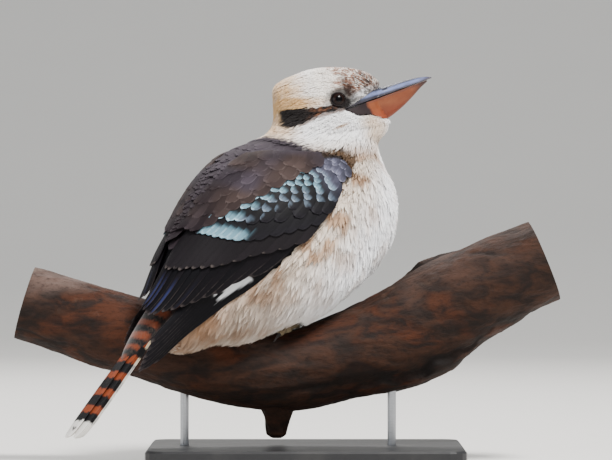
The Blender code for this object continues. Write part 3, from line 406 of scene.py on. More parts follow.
class Shop:
    # one material, its shader and the places where its patterns are read
    def __init__(self, name, **constants):
        self.material = bpy.data.materials.new(name)
        self.material.use_nodes = True
        self.tree = self.material.node_tree
        self.shader = self.tree.nodes["Principled BSDF"]
        for key, value in constants.items():
            self.shader.inputs[key.replace("_", " ")].default_value = value

    def node(self, kind, settings=None, inputs=None, output=0):
        made = self.tree.nodes.new(kind)
        for key, value in (settings or {}).items():
            setattr(made, key, value)
        for key, value in (inputs or {}).items():
            socket = made.inputs[key]
            if isinstance(value, Wire):
                self.tree.links.new(value.socket, socket)
            elif hasattr(value, "__len__") and len(socket.default_value) == 4:
                socket.default_value = (*value, 1.0)
            else:
                socket.default_value = value
        return Wire(self, made.outputs[output])

    def place(self, scale=(1.0, 1.0, 1.0), shift=(0.0, 0.0, 0.0)):
        coordinates = self.node("ShaderNodeTexCoord", output="Object")
        return self.node("ShaderNodeMapping", None, {"Vector": coordinates, "Scale": scale, "Location": shift})

    def attribute(self, name, output="Vector"):
        return self.node("ShaderNodeAttribute", {"attribute_name": name}, output=output)

    def split(self, vector):
        first = self.node("ShaderNodeSeparateXYZ", None, {0: vector})
        return [Wire(self, output) for output in first.socket.node.outputs]

    def join(self, x, y, z):
        return self.node("ShaderNodeCombineXYZ", None, {"X": x, "Y": y, "Z": z})

    def grain(self, vector, scale, detail=4.0, rough=0.55, distortion=0.0):
        return self.node("ShaderNodeTexNoise", None, {"Vector": vector, "Scale": scale, "Detail": detail,
                                                      "Roughness": rough, "Distortion": distortion})

    def mix(self, share, first, second):
        return self.node("ShaderNodeMix", {"data_type": "RGBA"}, {0: share, 6: first, 7: second}, output=2)

    def toned(self, colour, value, saturation):
        return self.node("ShaderNodeHueSaturation", None,
                         {"Color": colour, "Value": value, "Saturation": saturation})

    def finish(self, colour, roughness=None, height=None, strength=0.5, distance=0.0005):
        for key, value in (("Base Color", colour), ("Roughness", roughness)):
            if value is not None:
                self.tree.links.new(value.socket, self.shader.inputs[key])
        if height is not None:
            bump = self.node("ShaderNodeBump", None,
                             {"Height": height, "Strength": strength, "Distance": distance})
            self.tree.links.new(bump.socket, self.shader.inputs["Normal"])
        return self.material


# Plumage: colours, and where they lie; places on the head are right and up from the feet
plumage = {
    "crown": (244, 238, 230), "nape": (216, 176, 122), "white": (248, 248, 250), "spots": (50, 30, 26),
    "browDark": (74, 46, 34), "rust": (142, 82, 44), "stripe": (25, 19, 18), "chestnut": (112, 72, 48),
    "streaks": (120, 112, 108), "cream": (238, 228, 212), "tan": (178, 146, 118), "flankAndShade": (140, 104, 74),
    "mantle": (70, 62, 70), "mantleBrown": (72, 59, 56), "mantleDark": (38, 30, 34), "shoulder": (84, 62, 40),
    "shoulderDark": (26, 24, 28), "rufous": (104, 48, 26), "black": (14, 12, 14),
    # front edge of the dark back: degrees round the body, share along it
    "mantleFront": ((0, 0.050), (14, 0.056), (38, 0.043), (52, 0.036), (63, 0.008), (73, -0.030), (81, -0.052),
                    (93, -0.062), (98, -0.042), (101, 0.020), (106, 0.6), (112, 1.5), (180, 1.5)),
    # how far round the dark back comes: share along, degrees
    "darkBelow": ((-0.1, 97), (0.0, 96), (0.04, 91), (0.10, 87), (0.9, 87), (1.0, 60)),
    # dark stripe through the ear: place along it, its upper and lower edge
    "stripeEdges": ((0.0078, 0.1530, 0.1415), (0.0100, 0.1536, 0.1405), (0.0126, 0.1538, 0.1398),
                    (0.0173, 0.1538, 0.1403), (0.0231, 0.1540, 0.1427), (0.0278, 0.1542, 0.1458),
                    (0.0325, 0.1546, 0.1479), (0.0383, 0.1553, 0.1497), (0.0441, 0.1560, 0.1514),
                    (0.0523, 0.1565, 0.1534)),
    # marks of the head: middle, half sizes, tilt, and how softly each fades
    "marks": {
        "nape": ((0.004, 0.160), (0.018, 0.026), -12, 0.55),
        "overEar": ((0.020, 0.1565), (0.020, 0.0042), 4, 0.6),
        "napeFoot": ((0.006, 0.134), (0.012, 0.010), 0, 0.8),
        "front": ((0.0640, 0.1720), (0.0170, 0.0115), -32, 0.4),
        "brow": ((0.0555, 0.1675), (0.0090, 0.0036), -62, 0.5),
        "behindBrow": ((0.0465, 0.1700), (0.0060, 0.0034), 20, 0.6),
        "lores": ((0.0645, 0.1632), (0.0095, 0.0034), 30, 0.4),
        "dots": ((0.0700, 0.1730), (0.0110, 0.0090), -25, 0.3),
        "eyeRing": ((0.0500, 0.1606), (0.0108, 0.0078), 14, 0.30),
        "eyeCorner": ((0.0530, 0.1578), (0.0040, 0.0036), 20, 0.3),
        "cheekLine": ((0.0505, 0.1417), (0.0055, 0.0008), 24, 0.6),
        "neckLine": ((0.042, 0.1345), (0.003, 0.0007), 10, 0.6),
        "chin": ((0.0735, 0.1400), (0.0075, 0.0120), 20, 0.7),
    },
    "tailBar": 0.0105,
}


# How much of a mark falls on places of the head: 1 inside a tilted ellipse, fading out over soft.
def spot(right, up, centre, size, angle, soft):
    cosine, sine = math.cos(math.radians(angle)), math.sin(math.radians(angle))
    dx, dz = right - centre[0], up - centre[1]
    ratio = np.hypot((dx * cosine + dz * sine) / size[0], (dz * cosine - dx * sine) / size[1])
    return 1 - smoothStep(1 - soft, 1 + soft, ratio)


def coatOf(key, count):
    return np.tile(tone(*plumage[key]), (count, 1))


def over(colour, key, mask):
    return blendTo(colour, tone(*plumage[key]), mask)


# Underparts: white breast, tan mottling near the wing, buff flanks and vent that deepen down the belly, partly
# painted shade.
def breastColour(along, side, fine, coarse):
    low = smoothStep(0.24, 0.74, along)
    near = 1 - smoothStep(100, 138, side)
    colour = over(coatOf("cream", len(along)), "white",
                  np.clip(smoothStep(98, 135, side) * (1 - low) + 0.2 * fine, 0, 1))
    mottled = smoothStep(0.42, 0.72, coarse) * (0.35 + 0.65 * near) * (1 - 0.5 * low)
    colour = over(colour, "tan", np.clip(0.8 * mottled + 0.35 * near, 0, 1))
    # lower on the belly the buff deepens: the flanks' and vent's own colour, with painted shade low on the body
    return over(colour, "flankAndShade", np.clip(low * (0.55 + 0.5 * coarse), 0, 1))


# Head: its marks by side view, the forehead's as streaks that run out from the bill.
def headColour(points, right, up, jitter, fine):
    on = {key: spot(right, up, *mark) for key, mark in plumage["marks"].items()}
    mottle = noise(points, 0.0045, 8)
    face = over(coatOf("white", len(points)), "cream", 0.20 * fine)
    crown = smoothStep(0.156, 0.162, up + jitter) * smoothStep(0.020, 0.034, right + 2 * jitter)
    face = over(face, "crown", crown)
    face = over(face, "nape", np.clip(on["nape"] * (0.55 + 0.5 * mottle) + on["overEar"] * 0.7, 0, 1))
    face = over(face, "nape", 0.45 * on["napeFoot"])
    fromBill = points - billSource
    distance = np.linalg.norm(fromBill, axis=1)
    rays = fromBill / distance[:, None] * 0.045
    rays[:, 0] += distance * 0.22
    streak, thin = noise(rays, 0.00125, 6), noise(rays, 0.0009, 10)
    top = smoothStep(0.1765, 0.1815, up + 4 * jitter) * smoothStep(0.034, 0.044, right)
    face = over(face, "rust", np.clip(on["front"] + top, 0, 1) * smoothStep(0.36, 0.58, streak) * 0.88)
    face = over(face, "browDark", on["front"] * smoothStep(0.54, 0.70, thin) * 0.85)
    face = over(face, "browDark", on["brow"] * (0.50 + 0.5 * smoothStep(0.3, 0.6, fine)))
    face = over(face, "rust", on["behindBrow"] * smoothStep(0.45, 0.6, streak) * 0.7)
    face = over(face, "white", on["lores"] * 0.9)
    face = over(face, "streaks", on["lores"] * smoothStep(0.50, 0.62, fine) * 0.75)
    face = over(face, "spots", on["dots"] * smoothStep(0.58, 0.66, noise(points, 0.0013, 9)) * 0.9)
    # the stripe through the ear, brown in its middle, with a chestnut lower edge
    edges = np.array(plumage["stripeEdges"])
    above, below = (np.interp(right, edges[:, 0], edges[:, edge]) + jitter for edge in (1, 2))
    within = smoothStep(-0.0003, 0.0009, above - up) * smoothStep(-0.0003, 0.0009, up - below)
    within *= smoothStep(0.0055, 0.0085, right + 2 * jitter) * (right < 0.056)
    brown = smoothStep(0.024, 0.034, right) * smoothStep(0.0006, 0.0016, above - up)
    brown = brown * smoothStep(0.35, 0.65, fine)
    lowerEdge = smoothStep(-0.0018, -0.0008, up - below) * (1 - smoothStep(0.0, 0.0010, up - below))
    face = over(face, "chestnut", 0.75 * lowerEdge * (right > 0.02) * (right < 0.054))
    face = blendTo(face, over(coatOf("stripe", len(points)), "chestnut", brown * 0.8), within)
    face = over(face, "stripe", on["eyeRing"] * (0.66 + 0.3 * mottle))
    face = over(face, "stripe", on["eyeCorner"])
    face = over(face, "tan", np.clip(on["cheekLine"] + on["neckLine"], 0, 1) * 0.9)
    return over(face, "nape", on["chin"] * 0.55)


# Colour of the coat at each place.
def markings(points):
    local = points - feet
    right, up = local[:, 0], local[:, 2]
    jitter = (noise(points, 0.0025, 3) - 0.5) * 0.0016
    fine, coarse = noise(points, 0.0016, 4), noise(points, 0.009, 5)
    along, around = wingPlace(points)
    side = np.abs(around)
    head = smoothStep(0.116, 0.136, up + jitter)
    colour = blendTo(breastColour(along, side, fine, coarse), headColour(points, right, up, jitter, fine), head)
    # dark back and the shoulder's dark mark
    edge = between(plumage["mantleFront"], side)
    dark = smoothStep(-0.012, 0.012, along - edge + (fine - 0.5) * 0.03)
    limit = between(plumage["darkBelow"], along)
    dark *= (up < 0.150) * (1 - smoothStep(-2, 2, side - limit + 4 * (fine - 0.5)))
    back = over(coatOf("mantle", len(points)), "mantleDark",
                np.clip(0.4 * coarse + 0.8 * smoothStep(0.15, 0.5, along), 0, 1))
    shoulder = smoothStep(58, 72, side) * (1 - smoothStep(0.05, 0.16, along))
    back = over(back, "shoulder", shoulder)
    back = over(back, "shoulderDark", shoulder * (1 - smoothStep(0.0, 0.010, along - edge)) * 0.9)
    colour = blendTo(colour, back, dark)
    # rump and the coverts over the tail: rufous bars on black
    tailward = (points - onBody(body["tailBase"])) @ tailFrame
    rump = smoothStep(0.018, 0.030, tailward[:, 0]) * smoothStep(-0.006, 0.0, tailward[:, 2])
    wave = np.sin(tailward[:, 0] * 2 * math.pi / plumage["tailBar"] + 3 * (coarse - 0.5))
    barred = over(coatOf("black", len(points)), "rufous", smoothStep(-0.3, 0.3, wave - 0.15))
    return blendTo(colour, barred, rump)


# Way of the lie of the plumage: back from the bill over the head, then down the line to the tail,
# hanging straighter down at the breast and low on the sides.
def lie(points, slope):
    fromBill = unit(points - billSource)
    fromBill[:, 2] -= 0.25
    down = np.tile(bodyFrame @ lineWay, (len(points), 1))
    head = smoothStep(0.112, 0.142, points[:, 2] - feet[2])[:, None]
    way = down * (1 - head) + fromBill * head
    front = smoothStep(0.03, 0.09, ((points - feet) @ bodyFrame)[:, 0])[:, None] * (1 - head)
    along, around = wingPlace(points)
    hang = smoothStep(96, 124, np.abs(around)) * (1 - smoothStep(0.70, 1.0, along))
    way = way + (0.4 * front + 1.3 * hang[:, None] * (1 - head)) * np.array([0.0, 0.0, -1.0])
    return alongSurface(way, slope)


def alongSurface(way, slope):
    return unit(way - slope * np.sum(way * slope, axis=1)[:, None])


# Perch chart, the same as in the solids: right, up and radius along its middle
perch = {
    "line": ((-0.197, 0.1110, 0.0255), (-0.144, 0.0955, 0.0265), (-0.100, 0.0810, 0.0270),
             (-0.050, 0.0675, 0.0285), (-0.012, 0.0645, 0.0290), (0.024, 0.0745, 0.0292),
             (0.066, 0.0895, 0.0318), (0.110, 0.1145, 0.0328), (0.140, 0.1300, 0.0312),
             (0.167, 0.1410, 0.0300)),
    "rings": 400, "sides": 196,
    # plates: right from and to, degrees round, how far they stand off from end to end
    "plates": (((0.044, 0.124), (-62, -14), (0.0008, 0.0018, 0.0026, 0.0052, 0.0040)),
               ((-0.008, 0.120), (146, 214), (0.0008, 0.0024, 0.0042, 0.0060, 0.0062, 0.0018))),
    # broken twig: right, up, wide and narrow radius, length
    "stub": (-0.0205, 0.0300, 0.0125, 0.0065, 0.026),
    # a calmer seat under the feet and belly: its middle along the perch, its half length and half degrees
    "seat": (0.174, 0.045, 60),
    # rings of a sawn end, as shares of its radius
    "cut": (0.93, 0.80, 0.60, 0.38, 0.16), "cutRough": 0.0007, "cutDish": 0.0006,
}
perchStart = perch["line"][0][0]
perchLength = perch["line"][-1][0] - perchStart


# Middle, radius, way and up of the perch at shares along it: a smooth curve through its line, which
# also sways a little from side to side.
def perchFrame(share):
    xs = perchStart + np.atleast_1d(share) * perchLength
    height, radius = curveThrough(perch["line"], xs).T
    climb = curveThrough(perch["line"], xs + 0.002)[:, 0] - curveThrough(perch["line"], xs - 0.002)[:, 0]
    middle = stacked(xs, 0.003 * np.sin(xs * 21), height)
    way = unit(stacked(0.004, 0.0, climb))
    return middle, radius, way, stacked(-way[:, 2], 0.0, way[:, 0])


# The branch isn't round: low waves round it that turn along it, by radians round.
def perchSwell(share, around):
    return 1 + 0.035 * np.sin(2 * around + 11 * share) + 0.020 * np.sin(3 * around - 17 * share + 1)


# Place over the bark: from the perch's middle out by its radius times its swell, and by a height, in
# the direction so many degrees round from straight up. Five finer waves die out at the seat.
def onPerch(share, around, height):
    share, around, height = np.broadcast_arrays(share, around, height)
    shape = share.shape
    share, around, height = share.ravel(), np.radians(around.ravel()), height.ravel()
    middle, radius, _, up = perchFrame(share)
    swell = perchSwell(share, around)
    swell += 0.012 * np.sin(5 * around + 41 * share) * (1 - np.exp(-((share - 0.46) / 0.12) ** 2))
    outward = up * np.cos(around)[:, None] - np.array([0.0, 1.0, 0.0]) * np.sin(around)[:, None]
    return (middle + outward * (radius * swell + height)[:, None]).reshape(*shape, 3)


def perchShare(right):
    return (right - perchStart) / perchLength


# Pushes points out of the branch, straight away from its middle, to this far over its bark.
def clearOfPerch(points, gap):
    share = perchShare(points[:, 0])
    for _ in range(2):
        middle, radius, way, up = perchFrame(np.clip(share, 0, 1))
        share = share + np.sum((points - middle) * way, axis=1) * way[:, 0] / perchLength
    middle, radius, way, up = perchFrame(np.clip(share, 0, 1))
    away = points - middle
    away -= way * np.sum(away * way, axis=1)[:, None]
    distance = np.maximum(np.linalg.norm(away, axis=1), 1e-6)
    around = np.arctan2(-away[:, 1], np.sum(away * up, axis=1))
    short = np.maximum(radius * perchSwell(share, around) + gap - distance, 0)
    return points + away / distance[:, None] * short[:, None]


# Skin: balls run together and pushed to a level under the coat; places on the head are right and up
skin = {
    "voxel": 0.0017, "depthTrunk": 0.0034, "depthHead": 0.0016, "depthFace": 0.0007, "billRoom": 0.0026,
    "headBalls": ((0.045, 0.152), (0.040, 0.125)), "trunkBalls": ((0.0, 0.0, 0.062), (-0.05, 0.0, 0.035)),
    "segments": 96, "ringCount": 64,
    # the hind toe that shows under the belly, and how deep the plumage lies over it
    "toe": (-0.0190, -0.0190, 0.0890), "toeDepth": 0.0026,
}


# 0 over the hind toe that shows under the belly, 1 away from it.
def toeRoom(points):
    return smoothStep(0.009, 0.022, np.linalg.norm(points - np.array(skin["toe"]), axis=1))


# How deep the skin lies under the body's surface: one depth each for trunk, head and face, deeper at
# the hind toe and behind the bill's edge, less where the back is raised.
def coatDepth(points):
    up = points[:, 2] - feet[2]
    head = smoothStep(0.118, 0.142, up)
    eyeway = np.hypot(points[:, 0] - feet[0] - 0.0500, up - 0.1590)
    face = head * (1 - smoothStep(0.008, 0.020, eyeway))
    depth = skin["depthTrunk"] + (skin["depthHead"] - skin["depthTrunk"]) * head
    depth = depth + (skin["depthFace"] - skin["depthHead"]) * face
    depth = depth + skin["toeDepth"] * (1 - toeRoom(points))
    return depth + skin["billRoom"] * bare(points, -0.0002) - backRise(points)


# A ball whose points are pushed out to just under the body's surface, and its faces.
def castBall(centre, segments, rings):
    polar = np.linspace(0, math.pi, rings)[1:-1, None]
    spin = np.linspace(0, 2 * math.pi, segments, endpoint=False)[None]
    ways = stacked(np.sin(polar) * np.cos(spin), np.sin(polar) * np.sin(spin), np.cos(polar)).reshape(-1, 3)
    origins = np.tile(centre, (len(ways), 1))
    ring = np.arange(segments)
    return origins + ways * reach(origins, ways, -0.003)[:, None], [
        gridFaces(rings - 2, segments, True)[:, ::-1], ring[None], ((rings - 3) * segments + ring[::-1])[None]]


# The balls cast from four middles are run together and pushed to the depth of the coat.
def makeSkin(finish):
    (faceBall, neckBall), (breastBall, rumpBall) = skin["headBalls"], skin["trunkBalls"]
    centres = [feet + headPlace(*faceBall), onBody(breastBall), feet + headPlace(*neckBall), onBody(rumpBall)]
    points, faces, count = [], [], 0
    for centre in centres:
        some, quads = castBall(centre, skin["segments"], skin["ringCount"])
        points.append(some)
        faces += [face + count for face in quads]
        count += len(some)
    rough = buildMesh("skinRough", np.concatenate(points), faces, finish, sharp=None)
    remesh = rough.modifiers.new("run_together", "REMESH")
    remesh.mode = "VOXEL"
    remesh.voxel_size = skin["voxel"]
    whole = rough.evaluated_get(bpy.context.evaluated_depsgraph_get()).to_mesh()
    points = np.zeros(len(whole.vertices) * 3)
    whole.vertices.foreach_get("co", points)
    points = points.reshape(-1, 3)
    quads = np.array([face.vertices[:] for face in whole.polygons])
    bpy.data.objects.remove(rough)
    points, _ = settle(points, -coatDepth(points), 5)
    points = clearOfPerch(points, 0.0004)
    vane = np.tile([0.5, 0.0, 0.5], (len(points), 1))
    piece = buildMesh("skin", points, [quads], finish, markings(points), vane, skinMap(points), None, points)
    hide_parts("head", "neck", "torso")
    print("skin")
    return points, quads


# Coat: small feathers rooted in the skin. In metres: spacing of their roots, length, half width, how
# high the tip stands and how much that varies, thickness; droop is how far the edges fall by their
# width, bend how the height rises along, follow how closely it takes the lie, lock the locks' size.
featherOutline = ((0.0, 0.35), (0.2, 0.75), (0.5, 1.0), (0.8, 0.9), (0.93, 0.6), (1.0, 0.12))
strandOutline = ((0.0, 0.6), (0.3, 1.0), (0.65, 0.75), (1.0, 0.06))
lockOutline = ((0.0, 0.45), (0.25, 0.9), (0.45, 1.0), (0.7, 0.72), (0.88, 0.38), (1.0, 0.05))
strand = {"columns": 3, "droop": 0.2, "outline": strandOutline, "slot": "cream_plumage", "lengthVary": 0.15,
          "follow": 0.5, "bend": 0.8}
broad = {**strand, "columns": 5, "outline": featherOutline}
coats = {
    "face": {**strand, "spacing": 0.00060, "length": 0.0034, "half": 0.00036, "lift": 0.0002, "liftVary": 0.0004,
             "rows": 3, "thick": 0.00012},
    "crown": {**strand, "spacing": 0.00078, "length": 0.0054, "half": 0.00042, "lift": 0.0003, "liftVary": 0.0003,
              "rows": 4, "thick": 0.00012, "lock": 0.003, "follow": 0.4},
    "throat": {**strand, "spacing": 0.00094, "length": 0.0095, "half": 0.00052, "lift": 0.0003, "liftVary": 0.0005,
               "rows": 5, "thick": 0.00014, "lock": 0.0036, "follow": 0.4},
    "under": {**broad, "spacing": 0.0033, "length": 0.0160, "half": 0.0034, "lift": -0.0012, "liftVary": 0.0006,
              "rows": 5, "thick": 0.0002, "droop": 0.25, "barred": True},
    "locks": {**broad, "spacing": 0.0038, "length": 0.0195, "half": 0.0026, "lift": -0.0008, "liftVary": 0.0028,
              "rows": 7, "thick": 0.0003, "droop": 0.45, "outline": lockOutline, "lengthVary": 0.3, "bend": 1.1},
    "breast": {**strand, "spacing": 0.00125, "length": 0.0165, "half": 0.00038, "lift": -0.0014,
               "liftVary": 0.0040, "rows": 5, "thick": 0.0002, "lengthVary": 0.25, "lock": 0.0066,
               "follow": 0.12, "bend": 1.2},
    "mantle": {**broad, "spacing": 0.0040, "length": 0.0190, "half": 0.0068, "lift": 0.0011, "liftVary": 0.0003,
               "rows": 7, "columns": 7, "thick": 0.0003, "droop": 0.08, "slot": "dark_plumage"},
}
coatLimits = {"triangles": 190000, "patch": 0.003, "sunk": 0.0024, "branchGap": 0.0003}


# Keys of the cells, of this size, that hold the points.
def cellKeys(points, size):
    cells = np.floor(points / size).astype(np.int64)
    return (cells[:, 0] * 8191 + cells[:, 1]) * 8191 + cells[:, 2]


# Random places on the skin, at most one to each small cell.
def scatter(points, quads, spacing, chance):
    corners = points[quads[:, :3]]
    edges = np.cross(corners[:, 1] - corners[:, 0], corners[:, 2] - corners[:, 0])
    area = np.linalg.norm(edges, axis=1)
    count = int(area.sum() / spacing ** 2 * 3)
    pick = chance.choice(len(quads), count, p=area / area.sum())
    u, v = chance.random((2, count, 1))
    four = points[quads[pick]]
    places = (four[:, 0] * (1 - u) * (1 - v) + four[:, 1] * u * (1 - v) + four[:, 2] * u * v
              + four[:, 3] * (1 - u) * v)
    _, first = np.unique(cellKeys(places, spacing), return_index=True)
    return places[np.sort(first)]


# Feathers as closed vanes: each walks over the body along its way, on a level that rises from its
# root to its tip, with an edge to each side of its middle that falls by a share of its width.
def growFeathers(name, roots, ways, shape, finish, chance, locks):
    count, rows, columns = len(roots), shape["rows"], shape["columns"]
    length = shape["length"] * (1 + shape["lengthVary"] * chance.uniform(-1, 1, count))
    # shorter and lower over the hind toe and its claw
    room = np.minimum(*(toeRoom(roots + share * ways * length[:, None]) for share in (1.0, 0.6)))
    length = length * (0.3 + 0.7 * room)
    half = shape["half"] * (1 + 0.2 * chance.uniform(-1, 1, count))
    own = chance.random(count)
    if locks is not None:
        own = 0.65 * locks + 0.35 * own
    lift = (shape["lift"] + shape["liftVary"] * own) * room - coatLimits["sunk"] * (1 - room) + backRise(roots)
    sink = field(roots)[0]
    point, way = roots, ways
    lines, slopes, sides = [], [], []
    steps = np.linspace(0, 1, rows)
    for row, step in enumerate(steps):
        if row:
            point = point + way * (length / (rows - 1))[:, None]
        point, slope = settle(point, sink + (lift - sink) * step ** shape["bend"], 2)
        way = alongSurface(way + shape["follow"] * lie(point, slope), slope)
        lines.append(point)
        slopes.append(slope)
        sides.append(np.cross(slope, way))
    lines, slopes, sides = (np.stack(part, axis=1) for part in (lines, slopes, sides))
    wide = between(shape["outline"], steps)[None, :, None, None] * half[:, None, None, None]
    across = np.linspace(-1, 1, columns)[None, None, :, None]
    grid = lines[:, :, None] + sides[:, :, None] * wide * across
    grid = grid + slopes[:, :, None] * (shape["thick"] * (1 - across ** 2) - shape["droop"] * wide * across ** 2)
    grid = clearOfPerch(grid.reshape(-1, 3), coatLimits["branchGap"]).reshape(grid.shape)
    if shape.get("barred"):
        colours = markings(grid.reshape(-1, 3))
    else:
        colours = np.repeat(markings(lines[:, int(round(0.7 * (rows - 1)))]), rows * columns, axis=0)
    vane = stacked(steps[None, :, None], across[..., 0], own[:, None, None])
    size = stacked(vane[..., 0] * length[:, None, None], vane[..., 1] * wide[..., 0], vane[..., 2])
    tuft = vane[..., :2] * np.array([1.0, 0.5]) - np.array([0.5, 0.0])
    patch = skinMap(roots)[:, None, None] + coatLimits["patch"] * tuft
    piece = buildMesh(name, grid, tubeFaces(count, rows, columns), finish, colours, vane, patch, 70, size)
    print(name, count, "feathers")


# Locks: each feather leans to meet the tip of the nearest of a sparser set of its neighbours.
def gather(roots, ways, length, size, chance):
    _, leaders = np.unique(cellKeys(roots, size), return_index=True)
    nearest = np.concatenate([
        np.argmin(((part[:, None] - roots[leaders][None]) ** 2).sum(axis=2), axis=1)
        for part in np.array_split(roots.astype(np.float32), max(1, len(roots) // 400))])
    turned = chance.normal(0, 0.16, len(leaders))[:, None]
    aside = np.cross(ways[leaders], field(roots[leaders])[1])
    tips = roots[leaders] + (ways[leaders] * np.cos(turned) + aside * np.sin(turned)) * length * 1.15
    ways = ways * 0.25 + unit(tips[nearest] - roots) + chance.normal(0, 0.05, ways.shape)
    return unit(ways), chance.random(len(leaders))[nearest]


# True where a wing lies over the skin, away from its edges.
def underWing(along, side):
    front, spine = between(wing["front"], side), between(wing["spineSide"], along)
    lower = between(wing["lowerSide"], along) - between(wing["underMargin"], along)
    return (along > front + 0.035) & (along < 0.93) & (side > spine + 5) & (side < lower)


def makeCoats(points, quads, finishes):
    chance = np.random.default_rng(21)
    for name, shape in coats.items():
        roots = scatter(points, quads, shape["spacing"], chance)
        slope = field(roots)[1]
        right, _, up = (roots - feet).T
        along, around = wingPlace(roots)
        side = np.abs(around) + chance.normal(0, 1.0, len(roots))
        edge = between(plumage["mantleFront"], side)
        dark = (along + chance.normal(0, 0.006, len(roots)) > edge) & (up < 0.150)
        dark &= side < between(plumage["darkBelow"], along)
        hidden = underWing(along, np.abs(around))
        tailward = (roots - onBody(body["tailBase"])) @ tailFrame
        rump = (tailward[:, 0] > 0.012) & (tailward[:, 2] > -0.004)
        eyeway = np.hypot((right - eye["place"][0]) / 1.15, up - eye["place"][1])
        inBill = bare(roots, 0.0) > 0.5
        chin = (right > 0.052) & (up < 0.1475 - 0.25 * (0.084 - right))
        headish = (up > 0.1385 + chance.normal(0, 0.0015, len(roots))) & ~chin
        crownish = headish & (right + chance.normal(0, 0.005, len(roots)) < 0.040) & (eyeway > 0.0075)
        pale = ~headish & ~dark
        keep = {
            "face": headish & ~crownish & (eyeway > 0.0050) & ~inBill,
            "crown": crownish,
            "throat": pale & (up > 0.108) & ~inBill,
            "under": pale & (up < 0.125) & ~hidden,
            "locks": pale & (up < 0.116) & ~hidden & ~rump,
            "breast": pale & (up < 0.120) & ~hidden & ~rump,
            "mantle": dark & ~hidden & (along < 0.50),
        }[name]
        roots, slope, along = roots[keep], slope[keep], along[keep]
        ways, locks = lie(roots, slope), None
        if "lock" in shape:
            ways, locks = gather(roots, ways, shape["length"], shape["lock"], chance)
        triangles = len(roots) * ((shape["rows"] - 1) * shape["columns"] * 2 + 2)
        pieces = math.ceil(triangles / coatLimits["triangles"])
        order = np.argsort(along)
        for number in range(pieces):
            part = order[number::pieces]
            pieceName = "coat_" + name + ("" if pieces == 1 else "_" + str(number + 1))
            growFeathers(pieceName, roots[part], ways[part], shape,
                         finishes["back" if name == "mantle" else "soft"], chance,
                         None if locks is None else locks[part])


